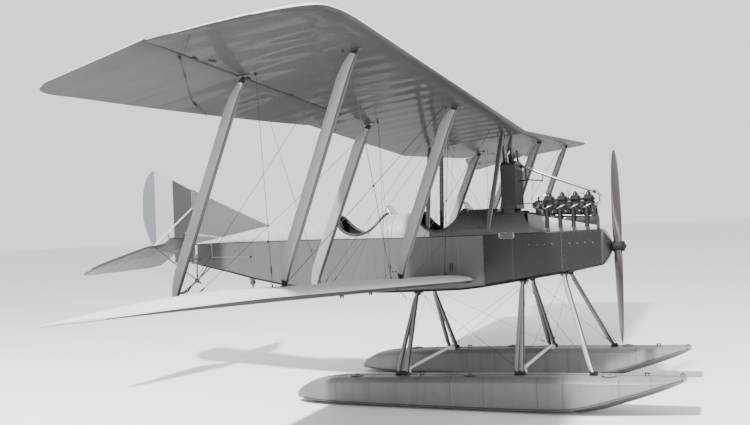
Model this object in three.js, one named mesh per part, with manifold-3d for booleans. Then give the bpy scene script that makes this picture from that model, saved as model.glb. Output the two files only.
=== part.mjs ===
// Two-seat training biplane on twin floats
import * as THREE from "three";
import { mergeVertices } from "three/addons/utils/BufferGeometryUtils.js";
import Module from "manifold-3d";

const wasm = await Module();
wasm.setup();

// Datum
// Stations are written in units of UNIT millimetres, measured from the leading edge of the
// upper wing at the middle of the span: x forward, y to port, z up from the float keels.
const UNIT = 945;
const KEEL_DROP = 3.75;
const LENGTH_SHIFT = 2211.83;
const GAP = 0.3;

// Wings
const CHORD = 1.89;
const HINGE = 1.452;
const SPAR_FRONT = 0.276;
const SPAR_REAR = 1.385;
const REAR_FOOT_SETBACK = 0.055;
const STRUT_INNER = 2.62;
const STRUT_OUTER = 5.563;
// washIn is the incidence gained along the span, in degrees a unit; depth thickens the section
const UPPER = { x: 0, z: 0, incidence: 7.0, washIn: 0, dihedral: 2.76, depth: 1 };
const LOWER = { x: -0.774, z: -2.149, incidence: 4.08, washIn: 0.294, dihedral: 3.0, depth: 1.16 };
const AILERON_ROOT = 3.35;
const AILERON_DROOP = 6.5;

// Propeller and engine
const SHAFT = { x: 1.218, z: -1.704 };
const PROP_RADIUS = 1.347;
const CYLINDERS = [0.3, 0.483, 0.667, 0.85];

// Tail
const RUDDER_HINGE = -5.785;
const ELEVATOR = { x: -5.715, z: -1.465, droop: 39, brace: 1.236 };

// Floats
const FLOAT_TRACK = 1.232;
const DECK = -3.245;

const rad = THREE.MathUtils.degToRad;

/** A station as a point in millimetres. */
function at(x, y, z) {
  return new THREE.Vector3(x * UNIT + LENGTH_SHIFT, y * UNIT, (z + KEEL_DROP) * UNIT);
}

/** A closed body through rings of equally many points. */
function loft(rings) {
  const n = rings[0].length;
  const position = [];
  const index = [];
  for (const ring of rings) {
    for (const p of ring) {
      position.push(p.x, p.y, p.z);
    }
  }
  for (let i = 0; i + 1 < rings.length; i++) {
    for (let j = 0; j < n; j++) {
      const a = i * n + j;
      const b = i * n + ((j + 1) % n);
      index.push(a, b, b + n, a, b + n, a + n);
    }
  }
  for (const [ring, turned] of [
    [0, true],
    [rings.length - 1, false],
  ]) {
    const centre = rings[ring].reduce((s, p) => s.add(p), new THREE.Vector3()).divideScalar(n);
    const c = position.length / 3;
    position.push(centre.x, centre.y, centre.z);
    for (let j = 0; j < n; j++) {
      const a = ring * n + j;
      const b = ring * n + ((j + 1) % n);
      index.push(...(turned ? [b, a, c] : [a, b, c]));
    }
  }
  const geometry = new THREE.BufferGeometry();
  geometry.setAttribute("position", new THREE.Float32BufferAttribute(position, 3));
  geometry.setIndex(index);
  return outward(geometry);
}

/** Turns all faces when a body's volume comes out negative. */
function outward(geometry) {
  const p = geometry.attributes.position;
  const index = geometry.index.array;
  const a = new THREE.Vector3();
  const b = new THREE.Vector3();
  const c = new THREE.Vector3();
  let volume = 0;
  for (let i = 0; i < index.length; i += 3) {
    a.fromBufferAttribute(p, index[i]);
    b.fromBufferAttribute(p, index[i + 1]);
    c.fromBufferAttribute(p, index[i + 2]);
    volume += a.dot(b.cross(c));
  }
  if (volume < 0) {
    for (let i = 0; i < index.length; i += 3) {
      [index[i], index[i + 1]] = [index[i + 1], index[i]];
    }
  }
  return geometry;
}

/** A geometry as a solid for joining and cutting. */
function solid(geometry) {
  const plain = geometry.clone();
  plain.deleteAttribute("normal");
  plain.deleteAttribute("uv");
  const merged = mergeVertices(plain, 1e-4);
  return new wasm.Manifold(
    new wasm.Mesh({
      numProp: 3,
      vertProperties: new Float32Array(merged.attributes.position.array),
      triVerts: new Uint32Array(merged.index.array),
    }),
  );
}

/** The largest piece of a solid as a geometry. */
function geometryOf(body) {
  const pieces = body.decompose();
  pieces.sort((a, b) => b.volume() - a.volume());
  const mesh = pieces[0].getMesh();
  const geometry = new THREE.BufferGeometry();
  const points = new Float32Array((mesh.vertProperties.length / mesh.numProp) * 3);
  for (let i = 0; i < points.length / 3; i++) {
    for (let k = 0; k < 3; k++) {
      points[3 * i + k] = mesh.vertProperties[mesh.numProp * i + k];
    }
  }
  geometry.setAttribute("position", new THREE.BufferAttribute(points, 3));
  geometry.setIndex(Array.from(mesh.triVerts));
  return geometry;
}

/** Joins geometries to one body. */
function join(...parts) {
  return geometryOf(parts.map(solid).reduce((a, b) => a.add(b)));
}

/** Cuts tools from a geometry. */
function cut(geometry, ...tools) {
  return geometryOf(tools.map(solid).reduce((a, b) => a.subtract(b), solid(geometry)));
}

/** Ends a piece at a neighbour, a small gap away from it in the given direction. */
function seat(geometry, neighbour, x, y, z) {
  const moved = neighbour.clone().translate(x * GAP, y * GAP, z * GAP);
  return cut(geometry, moved);
}

function mirror(geometry) {
  const other = geometry.clone();
  other.scale(1, -1, 1);
  const index = other.index.array;
  for (let i = 0; i < index.length; i += 3) {
    [index[i], index[i + 1]] = [index[i + 1], index[i]];
  }
  return other;
}

/** A box between two stations. */
function block(x0, x1, y0, y1, z0, z1) {
  const a = at(x0, y0, z0);
  const b = at(x1, y1, z1);
  const size = b.clone().sub(a);
  const box = new THREE.BoxGeometry(Math.abs(size.x), Math.abs(size.y), Math.abs(size.z));
  return box.translate((a.x + b.x) / 2, (a.y + b.y) / 2, (a.z + b.z) / 2);
}

/**
 * A streamlined rod between two points. wide and thick are its section in units, fore and aft
 * and across, waist is the share of them that is left at the ends, and swell is how far its
 * body swells aft of the straight leading edge, from 0 to 1.
 */
function rod(a, b, wide, thick, waist = 0.45, sides = 10, swell = 0) {
  const along = b.clone().sub(a).normalize();
  const across = new THREE.Vector3().crossVectors(along, new THREE.Vector3(1, 0, 0));
  if (across.length() < 0.2) {
    across.set(0, 1, 0);
  }
  across.normalize();
  const fore = new THREE.Vector3().crossVectors(across, along).normalize();
  const rings = [];
  for (const t of [0, 0.03, 0.09, 0.25, 0.5, 0.75, 0.91, 0.97, 1]) {
    const share = waist + (1 - waist) * Math.min(1, 0.9 * Math.sin(Math.PI * t) ** 0.4 + 0.1);
    const centre = a.clone().lerp(b, t);
    centre.addScaledVector(fore, (-swell * (share - waist) * wide * UNIT) / 2);
    const ring = [];
    for (let j = 0; j < sides; j++) {
      const angle = (2 * Math.PI * j) / sides;
      const p = centre.clone();
      p.addScaledVector(fore, (Math.cos(angle) * wide * share * UNIT) / 2);
      p.addScaledVector(across, (Math.sin(angle) * thick * share * UNIT) / 2);
      ring.push(p);
    }
    rings.push(ring);
  }
  return loft(rings);
}

/** A straight round bar of even thickness. */
function bar(a, b, diameter, sides = 8) {
  const length = a.distanceTo(b);
  const shape = new THREE.CylinderGeometry((diameter * UNIT) / 2, (diameter * UNIT) / 2, length, sides);
  const turn = new THREE.Quaternion().setFromUnitVectors(
    new THREE.Vector3(0, 1, 0),
    b.clone().sub(a).normalize(),
  );
  const middle = a.clone().lerp(b, 0.5);
  return shape.applyQuaternion(turn).translate(middle.x, middle.y, middle.z);
}

// Wing section: share of the chord, height above the chord line over the chord
const TOP = [
  [0, 0.004],
  [0.012, 0.018],
  [0.05, 0.034],
  [0.15, 0.049],
  [0.32, 0.056],
  [0.5, 0.052],
  [0.73, 0.035],
  [0.88, 0.018],
  [1, 0.003],
];
const BOTTOM = [
  [0, 0.004],
  [0.012, -0.008],
  [0.06, -0.011],
  [0.2, -0.004],
  [0.5, 0.006],
  [0.8, 0.006],
  [1, 0.0],
];

/** Linear interpolation in a table of pairs. */
function lookUp(table, x) {
  let i = 1;
  while (i < table.length - 1 && table[i][0] < x) {
    i++;
  }
  const [x0, y0] = table[i - 1];
  const [x1, y1] = table[i];
  return y0 + ((y1 - y0) * (x - x0)) / (x1 - x0);
}

/** A point of a wing: s aft along the chord, h above the chord line. */
function onWing(wing, y, s, h) {
  const a = rad(wing.incidence + wing.washIn * Math.abs(y));
  return at(
    wing.x - s * Math.cos(a) - h * Math.sin(a),
    y,
    wing.z + Math.abs(y) * Math.tan(rad(wing.dihedral)) - s * Math.sin(a) + h * Math.cos(a),
  );
}

const TOP_SHARES = [1, 0.8, 0.6, 0.42, 0.26, 0.13, 0.05, 0.012];
const BOTTOM_SHARES = [0, 0.012, 0.06, 0.2, 0.45, 0.75, 1];

/** One rib outline between a leading offset and a rear end. */
function rib(wing, y, lead, rear, thickness) {
  const chord = CHORD - lead;
  const end = (rear - lead) / chord;
  const ring = [];
  for (const share of TOP_SHARES) {
    const f = share * end;
    ring.push(onWing(wing, y, lead + f * chord, lookUp(TOP, f) * CHORD * wing.depth * thickness));
  }
  for (const share of BOTTOM_SHARES) {
    const f = share * end;
    ring.push(onWing(wing, y, lead + f * chord, lookUp(BOTTOM, f) * CHORD * wing.depth * thickness));
  }
  return ring;
}

// Wing plans: station along the span, leading offset, rear end, thickness
const WING_FRONT_OF_HINGE = 1.412;
const UPPER_PLAN = [
  [0.0005, 0, CHORD, 1],
  [STRUT_INNER, 0, CHORD, 1],
  [AILERON_ROOT, 0, CHORD, 1],
  [AILERON_ROOT + 0.0006, 0, WING_FRONT_OF_HINGE, 1],
  [STRUT_OUTER, 0, WING_FRONT_OF_HINGE, 1],
  [6.2, 0, WING_FRONT_OF_HINGE, 1],
  [6.407, 0.012, WING_FRONT_OF_HINGE, 0.95],
  [6.56, 0.04, WING_FRONT_OF_HINGE, 0.82],
  [6.667, 0.09, WING_FRONT_OF_HINGE, 0.66],
  [6.76, 0.24, WING_FRONT_OF_HINGE, 0.46],
  [6.84, 0.52, WING_FRONT_OF_HINGE, 0.3],
  [6.89, 0.86, WING_FRONT_OF_HINGE, 0.2],
  [6.915, 1.16, WING_FRONT_OF_HINGE, 0.14],
];
const LOWER_PLAN = [
  [0.3, 0, CHORD, 1],
  [STRUT_INNER, 0, CHORD, 1],
  [STRUT_OUTER, 0, CHORD, 1],
  [6.264, 0, CHORD, 1],
  [6.47, 0.053, CHORD, 0.95],
  [6.635, 0.19, CHORD, 0.83],
  [6.765, 0.389, CHORD, 0.66],
  [6.85, 0.604, CHORD - 0.01, 0.47],
  [6.9, 0.828, CHORD - 0.04, 0.28],
  [6.915, 1.1, CHORD - 0.12, 0.14],
];

/** The starboard half of a wing. */
function wingHalf(wing, plan) {
  return loft(plan.map(([y, lead, rear, thickness]) => rib(wing, -y, lead, rear, thickness)));
}

// Aileron plan: station along the span, distance of the trailing edge behind the hinge, thickness
const AILERON_PLAN = [
  [AILERON_ROOT + 0.02, 0.43, 1],
  [4.15, 0.63, 1],
  [4.85, 0.79, 1],
  [5.75, 0.975, 1],
  [6.45, 1.1, 0.92],
  [6.7, 1.145, 0.6],
  [6.84, 1.1, 0.3],
  [6.9, 0.98, 0.18],
];

/** A point of the aileron, behind its hinge by s and above it by h, drooped at rest. */
function onAileron(y, s, h) {
  const a = rad(AILERON_DROOP);
  const centre = lookUp(TOP, HINGE / CHORD) + lookUp(BOTTOM, HINGE / CHORD);
  const middle = (centre * CHORD) / 2;
  return onWing(UPPER, y, HINGE + s * Math.cos(a) + h * Math.sin(a), middle - s * Math.sin(a) + h * Math.cos(a));
}

function aileron() {
  const half = ((lookUp(TOP, HINGE / CHORD) - lookUp(BOTTOM, HINGE / CHORD)) * CHORD) / 2;
  const rings = AILERON_PLAN.map(([y, chord, thickness]) => {
    const h = half * thickness;
    const ring = [];
    for (const angle of [90, 130, 180, 230, 270]) {
      ring.push(onAileron(-y, h * Math.cos(rad(angle)), h * Math.sin(rad(angle))));
    }
    for (const [share, height] of [
      [0.5, -0.5],
      [1, -0.05],
      [1, 0.05],
      [0.5, 0.62],
    ]) {
      ring.push(onAileron(-y, chord * share, h * height));
    }
    return ring;
  });
  const pin = bar(onAileron(-(AILERON_ROOT + 0.0009), 0, 0), onAileron(-(AILERON_ROOT + 0.06), 0, 0), 0.024, 12);
  return join(loft(rings), pin);
}

// Hull: station, half width, bottom, upper longeron, crown of the deck
const HULL = [
  [-5.665, 0.035, -1.82, -1.462, -1.44],
  [-5.0, 0.115, -1.955, -1.457, -1.325],
  [-4.5, 0.175, -2.068, -1.457, -1.235],
  [-3.97, 0.232, -2.165, -1.457, -1.165],
  [-2.95, 0.335, -2.268, -1.46, -1.113],
  [-2.2, 0.388, -2.292, -1.472, -1.104],
  [-1.4, 0.402, -2.275, -1.478, -1.098],
  [-0.95, 0.398, -2.262, -1.478, -1.095],
  [-0.61, 0.388, -2.225, -1.476, -1.098],
  [-0.44, 0.38, -2.197, -1.474, -1.105],
  [0.0, 0.352, -2.132, -1.468, -1.13],
  [0.55, 0.3, -2.047, -1.46, -1.16],
  [1.0, 0.232, -1.957, -1.455, -1.2],
];
const HULL_COLUMN = { half: 1, bottom: 2, longeron: 3, crown: 4 };

function hullAt(x, column) {
  return lookUp(
    HULL.map((row) => [row[0], row[HULL_COLUMN[column]]]),
    x,
  );
}

/** A box-like section of the hull with eased lower edges. */
function hullRing(x, inset, top) {
  const w = hullAt(x, "half") - inset;
  const bottom = hullAt(x, "bottom") + inset;
  const ease = Math.min(0.035, w * 0.4);
  return [
    at(x, w, top),
    at(x, w, bottom + ease),
    at(x, w - ease, bottom),
    at(x, -w + ease, bottom),
    at(x, -w, bottom + ease),
    at(x, -w, top),
  ];
}

function hullPart(x0, x1) {
  const stations = [x0, ...HULL.map((row) => row[0]).filter((x) => x > x0 + 0.01 && x < x1 - 0.01), x1];
  return loft(stations.map((x) => hullRing(x, 0, hullAt(x, "longeron"))));
}

/** The arched deck over the upper longerons. */
function deckRing(x, inset, lift = 0) {
  const w = hullAt(x, "half") - inset;
  const base = hullAt(x, "longeron") + GAP / UNIT + lift;
  const rise = hullAt(x, "crown") - inset - base;
  const ring = [];
  for (let j = 0; j <= 14; j++) {
    const angle = (Math.PI * j) / 14;
    ring.push(at(x, w * Math.cos(angle), base + rise * Math.sin(angle)));
  }
  return ring;
}

function deckPart(x0, x1, inset = 0, lift = 0) {
  const stations = [x0, ...HULL.map((row) => row[0]).filter((x) => x > x0 + 0.01 && x < x1 - 0.01), x1];
  return loft(stations.map((x) => deckRing(x, inset, lift)));
}

/** An oval bar across the hull that cuts one cockpit. */
function cockpitCutter(x, z, a, b) {
  const rings = [-0.6, 0.6].map((y) => {
    const ring = [];
    for (let j = 0; j < 28; j++) {
      const angle = (2 * Math.PI * j) / 28;
      ring.push(at(x + a * Math.cos(angle), y, z + b * Math.sin(angle)));
    }
    return ring;
  });
  return loft(rings);
}

const REAR_COCKPIT = { x: -2.585, z: -1.03, a: 0.41, b: 0.38 };
const FRONT_COCKPIT = { x: -1.29, z: -1.04, a: 0.34, b: 0.36 };
const DECK_SPLIT = -1.405;
const DECK_FRONT = -0.445;
const NOSE_REAR = -0.605;
const FLOOR = -2.17;
const WALL = 0.022;

/** The room inside the hull and its deck, as a tool. */
function cabin(x0, x1) {
  const stations = [x0, ...HULL.map((row) => row[0]).filter((x) => x > x0 + 0.01 && x < x1 - 0.01), x1];
  return loft(
    stations.map((x) => {
      const w = hullAt(x, "half") - WALL;
      return [at(x, w, -1.0), at(x, w, FLOOR), at(x, -w, FLOOR), at(x, -w, -1.0)];
    }),
  );
}

// Airframe pieces
const rearHull = cut(hullPart(HULL[0][0], NOSE_REAR - 0.0003), cabin(-3.05, -0.75));
const rearCutter = cockpitCutter(REAR_COCKPIT.x, REAR_COCKPIT.z, REAR_COCKPIT.a, REAR_COCKPIT.b);
const frontCutter = cockpitCutter(FRONT_COCKPIT.x, FRONT_COCKPIT.z, FRONT_COCKPIT.a, FRONT_COCKPIT.b);
const turtleSolid = deckPart(HULL[0][0], DECK_SPLIT - 0.0003);
const turtleDeck = cut(turtleSolid, deckPart(-3.05, -1.2, WALL, -0.05), rearCutter, frontCutter);
const frontDeckSolid = deckPart(DECK_SPLIT, DECK_FRONT);
const frontDeck = cut(frontDeckSolid, deckPart(-1.6, -0.75, WALL, -0.05), frontCutter);

// Nose: rings of half width, top and bottom ahead of the hull table
const NOSE_RINGS = [
  [1.035, 0.215, -1.458, -1.948],
  [1.09, 0.15, -1.54, -1.872],
  [1.128, 0.095, -1.6, -1.8],
  [1.142, 0.062, -1.645, -1.763],
];

const BAY_REAR = -0.1;

function noseCowl() {
  const stations = [NOSE_REAR, -0.44, 0, 0.55, 1.0];
  const rings = stations.map((x) => hullRing(x, 0, hullAt(x, "longeron")));
  for (const [x, w, top, bottom] of NOSE_RINGS) {
    const ease = w * 0.2;
    rings.push([
      at(x, w, top),
      at(x, w, bottom + ease),
      at(x, w - ease, bottom),
      at(x, -w + ease, bottom),
      at(x, -w, bottom + ease),
      at(x, -w, top),
    ]);
  }
  const bay = loft(
    [BAY_REAR, 0, 0.55, 0.985].map((x) => {
      const w = hullAt(x, "half") - WALL;
      return [at(x, w, -1.3), at(x, w, -1.86), at(x, -w, -1.86), at(x, -w, -1.3)];
    }),
  );
  const shaftHole = bar(at(0.9, 0, SHAFT.z), at(1.3, 0, SHAFT.z), 0.1, 24);
  return cut(loft(rings), bay, shaftHole);
}

// Engine
const BEARER = { inner: 0.19, outer: 0.23, top: -1.57 };

function crankcase() {
  const base = [
    [-0.02, 0.1, -1.62, -1.36],
    [0.03, 0.15, -1.8, -1.262],
    [0.2, 0.165, -1.85, -1.255],
    [0.9, 0.165, -1.85, -1.255],
    [0.97, 0.15, -1.8, -1.265],
  ];
  const rings = base.map(([x, w, bottom, top]) => [
    at(x, w * 0.72, top),
    at(x, w, top - 0.06),
    at(x, w, (top + bottom) / 2),
    at(x, w * 0.7, bottom),
    at(x, -w * 0.7, bottom),
    at(x, -w, (top + bottom) / 2),
    at(x, -w, top - 0.06),
    at(x, -w * 0.72, top),
  ]);
  const shaft = bar(at(0.9, 0, SHAFT.z), at(SHAFT.x - 0.055 - GAP / UNIT, 0, SHAFT.z), 0.07, 24);
  const feet = [0.16, 0.6].map((x) => block(x - 0.04, x + 0.04, -BEARER.outer, BEARER.outer, BEARER.top, -1.53));
  return join(loft(rings), shaft, ...feet);
}

function bearer(side) {
  return block(BAY_REAR + 0.02, 0.7, side * BEARER.inner, side * BEARER.outer, -1.86 + GAP / UNIT, BEARER.top - GAP / UNIT);
}

function cylinderRow() {
  const parts = [];
  for (const x of CYLINDERS) {
    parts.push(bar(at(x, 0, -1.255 + GAP / UNIT), at(x, 0, -1.06), 0.172, 20));
    parts.push(bar(at(x, 0, -1.075), at(x, 0, -0.99), 0.15, 20));
    parts.push(block(x - 0.05, x + 0.05, -0.11, 0.11, -1.02, -0.965));
    parts.push(bar(at(x - 0.015, -0.06, -1.13), at(x - 0.015, -0.21, -1.2), 0.05, 12));
    parts.push(bar(at(x - 0.015, -0.2, -1.17), at(x - 0.015, -0.2, -1.4), 0.05, 12));
  }
  parts.push(block(CYLINDERS[0] - 0.06, CYLINDERS[3] + 0.06, -0.06, 0.06, -1.2, -1.05));
  return join(...parts);
}

function rearGear() {
  const body = bar(at(0.1, 0.0, -1.08), at(0.2, 0.0, -1.08), 0.13, 20);
  const post = block(0.1, 0.18, -0.04, 0.04, -1.3, -1.1);
  const pump = bar(at(0.05, -0.08, -1.2), at(0.19, -0.08, -1.2), 0.07, 16);
  return seat(join(body, post, pump), crankcase(), 0, 0, 1);
}

// Radiator and its pipe
const RADIATOR = { x0: -0.34, x1: -0.124, half: 0.262, bottom: -1.12, top: -0.43 };

function radiator() {
  const core = block(RADIATOR.x0, RADIATOR.x1, -RADIATOR.half, RADIATOR.half, RADIATOR.bottom, RADIATOR.top - 0.1);
  const tank = loft(
    [RADIATOR.x0, RADIATOR.x1].map((x) => [
      at(x, RADIATOR.half, RADIATOR.top - 0.1),
      at(x, RADIATOR.half, RADIATOR.top - 0.06),
      at(x, RADIATOR.half - 0.1, RADIATOR.top),
      at(x, -RADIATOR.half + 0.1, RADIATOR.top),
      at(x, -RADIATOR.half, RADIATOR.top - 0.06),
      at(x, -RADIATOR.half, RADIATOR.top - 0.1),
    ]),
  );
  const filler = bar(at(-0.23, 0, RADIATOR.top - 0.02), at(-0.23, 0, RADIATOR.top + 0.045), 0.08, 16);
  const legs = [1, -1].map((side) =>
    block(RADIATOR.x0 + 0.02, RADIATOR.x1 - 0.04, side * 0.2, side * 0.24, -1.5, RADIATOR.bottom + 0.01),
  );
  return seat(join(core, tank, filler, ...legs), noseCowl(), 0, 0, 1);
}

function waterPipe() {
  const path = new THREE.CatmullRomCurve3([
    at(RADIATOR.x1 - 0.02, -0.04, -0.5),
    at(-0.03, -0.05, -0.52),
    at(0.3, -0.08, -0.665),
    at(0.7, -0.1, -0.825),
    at(0.96, -0.1, -0.93),
    at(1.02, -0.1, -1.0),
    at(1.0, -0.1, -1.06),
    at(0.94, -0.08, -1.075),
  ]);
  const section = new THREE.Shape();
  section.absarc(0, 0, 0.016 * UNIT, 0, 2 * Math.PI);
  const pipe = new THREE.ExtrudeGeometry(section, { steps: 40, extrudePath: path, curveSegments: 6 });
  return seat(pipe, radiator(), 1, 0, 0);
}

// Floats: station, half width, keel, chine, crest of the rounded deck
const FLOAT = [
  [-3.2, 0.06, -3.69, -3.672, -3.63],
  [-3.16, 0.12, -3.702, -3.672, -3.578],
  [-3.05, 0.18, -3.718, -3.68, -3.505],
  [-2.9, 0.222, -3.732, -3.69, -3.44],
  [-2.7, 0.25, -3.742, -3.697, -3.398],
  [-2.4, 0.265, -3.75, -3.705, -3.37],
  [-1.0, 0.275, -3.75, -3.71, -3.325],
  [0.45, 0.275, -3.75, -3.7, DECK - 0.043],
  [0.75, 0.275, -3.745, -3.672, -3.283],
  [1.05, 0.273, -3.7, -3.6, -3.279],
  [1.3, 0.268, -3.622, -3.524, -3.276],
  [1.55, 0.262, -3.536, -3.447, -3.273],
  [1.8, 0.255, -3.443, -3.362, -3.27],
  [1.97, 0.247, -3.368, -3.306, -3.268],
  [2.055, 0.24, -3.322, -3.285, -3.267],
  [2.085, 0.23, -3.3, -3.283, -3.272],
];
const KEEL_HALF = 0.045;
const DECK_CAMBER = 0.062;

function floatBody(side) {
  const y = side * FLOAT_TRACK;
  const rings = FLOAT.map(([x, half, keel, chine, deck]) => {
    const camber = Math.min(DECK_CAMBER * (half / 0.275), 0.4 * (deck - chine));
    return [
      at(x, y + KEEL_HALF, keel),
      at(x, y + half, chine),
      at(x, y + half, deck - camber),
      at(x, y + half * 0.86, deck - camber * 0.45),
      at(x, y + half * 0.6, deck - camber * 0.14),
      at(x, y + half * 0.3, deck),
      at(x, y - half * 0.3, deck),
      at(x, y - half * 0.6, deck - camber * 0.14),
      at(x, y - half * 0.86, deck - camber * 0.45),
      at(x, y - half, deck - camber),
      at(x, y - half, chine),
      at(x, y - KEEL_HALF, keel),
    ];
  });
  return loft(rings);
}

function floatDeckAt(x) {
  return lookUp(
    FLOAT.map((row) => [row[0], row[4]]),
    x,
  );
}

// Float struts: feet, upper end, section
const FLOAT_STRUTS = [
  { name: "rear", feet: [-1.66, -1.53], top: [-1.62, 0.385], wide: 0.078, waist: 0.5 },
  { name: "mid", feet: [0.0, 0.075], top: [-0.06, 0.335], wide: 0.078, waist: 0.5 },
  { name: "front", feet: [0.976], top: [0.507, 0.285], wide: 0.084, waist: 0.5 },
];

const SPREADER_END = 1.12;

function floatStrut(row, side, hull, float) {
  const top = at(row.top[0], side * row.top[1], hullAt(row.top[0], "bottom") + 0.05);
  const legs = row.feet.map((x) => {
    const foot = at(x, side * FLOAT_TRACK, floatDeckAt(x) - 0.03);
    return rod(foot, top, row.wide, 0.036, row.waist, 10, 1);
  });
  const joined = legs.length > 1 ? join(...legs) : legs[0];
  return seat(seat(joined, hull, 0, 0, -1), float, 0, 0, 1);
}

function spreader(x) {
  const z = floatDeckAt(x) + 0.045;
  const beam = bar(at(x, -SPREADER_END, z), at(x, SPREADER_END, z), 0.044, 14);
  const pads = [1, -1].map((side) =>
    block(x - 0.05, x + 0.05, side * SPREADER_END, side * (SPREADER_END - 0.08), floatDeckAt(x) - 0.04, z),
  );
  return seat(seat(join(beam, ...pads), floatBody(1), 0, 0, 1), floatBody(-1), 0, 0, 1);
}

// Fin, rudder and elevators
function plate(points, thickness) {
  const shape = new THREE.Shape(points.map(([x, z]) => new THREE.Vector2(x * UNIT, z * UNIT)));
  const body = new THREE.ExtrudeGeometry(shape, { depth: thickness * UNIT, bevelEnabled: false, steps: 1 });
  body.translate(0, 0, (-thickness * UNIT) / 2);
  body.rotateX(Math.PI / 2);
  return body.translate(LENGTH_SHIFT, 0, KEEL_DROP * UNIT);
}

const POST = { x: -5.752, half: 0.012 };

function fin() {
  const blade = plate(
    [
      [-4.287, -1.185],
      [-5.755, -0.515],
      [-5.755, -1.4],
      [-5.6, -1.5],
      [-4.287, -1.3],
    ],
    0.03,
  );
  const post = block(POST.x - POST.half, POST.x + POST.half, -0.02, 0.02, -1.79, -0.53);
  const lug = block(-5.8, -5.69, -0.03, 0.03, -1.8, -1.775);
  const shoe = block(-5.74, -5.667 + 0.0003, -0.03, 0.03, -1.775, -1.66);
  const raw = join(blade, post, lug, shoe);
  return seat(seat(raw, turtleSolid, 0, 0, 1), rearHull, -1, 0, 0);
}

const RUDDER = [
  [-5.772, -0.535],
  [-6.13, -0.352],
  [-6.42, -0.2],
  [-6.502, -0.172],
  [-6.557, -0.183],
  [-6.645, -0.26],
  [-6.705, -0.371],
  [-6.745, -0.52],
  [-6.763, -0.68],
  [-6.766, -0.955],
  [-6.735, -1.1],
  [-6.701, -1.209],
  [-6.633, -1.39],
  [-6.42, -1.62],
  [-6.22, -1.745],
  [-6.07, -1.77],
  [-5.772, -1.77],
];

function rudder() {
  const shifted = RUDDER.map(([x, z]) => [x === -5.772 ? RUDDER_HINGE + 0.013 : x, z]);
  const pin = bar(at(RUDDER_HINGE, 0, -1.775 + 0.0004), at(RUDDER_HINGE, 0, -1.74), 0.02, 12);
  return join(plate(shifted, 0.034), pin);
}

// Elevator plan: station along the span, leading offset and trailing edge behind the hinge
const ELEVATOR_PLAN = [
  [0.36, 0, 0.3],
  [0.46, 0, 0.5],
  [0.62, 0, 0.545],
  [1.3, 0, 0.565],
  [1.6, 0.13, 0.57],
  [1.85, 0.25, 0.575],
  [2.08, 0.37, 0.578],
  [2.19, 0.45, 0.58],
  [2.245, 0.52, 0.576],
];

/** A point of the elevator, behind its hinge by s and above it by h, hanging at rest. */
function onElevator(y, s, h) {
  const a = rad(ELEVATOR.droop);
  return at(
    ELEVATOR.x - s * Math.cos(a) - h * Math.sin(a),
    y,
    ELEVATOR.z - s * Math.sin(a) + h * Math.cos(a),
  );
}

function elevatorHalf() {
  const rings = ELEVATOR_PLAN.map(([y, lead, rear]) => {
    const h = 0.016;
    const middle = (lead + rear) / 2;
    const nose = [90, 130, 180, 230, 270].map((angle) =>
      onElevator(-y, lead + h * Math.cos(rad(angle)), h * Math.sin(rad(angle))),
    );
    return [
      ...nose,
      onElevator(-y, middle, -h * 0.7),
      onElevator(-y, rear, -0.004),
      onElevator(-y, rear, 0.004),
      onElevator(-y, middle, h * 0.7),
    ];
  });
  return loft(rings);
}

function elevator() {
  const right = elevatorHalf();
  const tube = bar(onElevator(-0.62, 0, 0), onElevator(0.62, 0, 0), 0.032, 16);
  const horns = [1, -1].map((side) =>
    bar(onElevator(side * 0.42, 0.02, -0.01), at(ELEVATOR.x + 0.06, side * 0.42, ELEVATOR.z + 0.2), 0.018, 8),
  );
  return join(right, mirror(right), tube, ...horns);
}

// Tail struts: bearing on the elevator's hinge, fin, stern, keel post
const APEX = { x: -5.71, z: -2.09 };

function tailBrace() {
  const side = -1;
  const bearing = at(ELEVATOR.x + 0.05, side * ELEVATOR.brace, ELEVATOR.z);
  const upper = rod(bearing, at(POST.x, 0, -0.84), 0.03, 0.022, 0.8, 8);
  const stern = rod(bearing, at(-5.62, side * 0.03, -1.74), 0.028, 0.022, 0.8, 8);
  const keel = rod(bearing, at(APEX.x, 0, APEX.z + 0.01), 0.028, 0.022, 0.8, 8);
  const cup = block(
    ELEVATOR.x + 0.0164,
    ELEVATOR.x + 0.08,
    side * (ELEVATOR.brace - 0.03),
    side * (ELEVATOR.brace + 0.03),
    ELEVATOR.z - 0.022,
    ELEVATOR.z + 0.022,
  );
  const raw = join(upper, stern, keel, cup);
  return seat(seat(seat(raw, rearHull, 0, -1, 0), finBody, 0, -1, 0), skidBody, 0, -1, 0);
}

function tailSkid() {
  const apex = at(APEX.x, 0, APEX.z);
  const parts = [
    rod(at(-5.7, 0, -1.74), apex, 0.026, 0.026, 0.8, 8),
    rod(at(-5.47, 0, -1.82), apex, 0.026, 0.026, 0.8, 8),
    rod(apex, at(-6.0, 0, -2.285), 0.034, 0.05, 0.7, 8),
    block(APEX.x - 0.03, APEX.x + 0.03, -0.025, 0.025, APEX.z - 0.03, APEX.z + 0.03),
  ];
  return seat(seat(join(...parts), rearHull, 0, 0, -1), finBody, 0, 0, -1);
}

const finBody = fin();
const skidBody = tailSkid();

// Propeller: distance from the shaft, blade width, thickness, pitch angle in degrees
const BLADE = [
  [0.0, 0.1, 0.095, 78],
  [0.12, 0.12, 0.09, 64],
  [0.25, 0.148, 0.066, 50],
  [0.45, 0.18, 0.048, 38],
  [0.75, 0.2, 0.034, 30],
  [1.05, 0.2, 0.024, 23.5],
  [1.2, 0.17, 0.018, 20.5],
  [1.28, 0.12, 0.014, 19.5],
  [1.33, 0.072, 0.01, 19],
  [PROP_RADIUS, 0.03, 0.007, 19],
];

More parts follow.
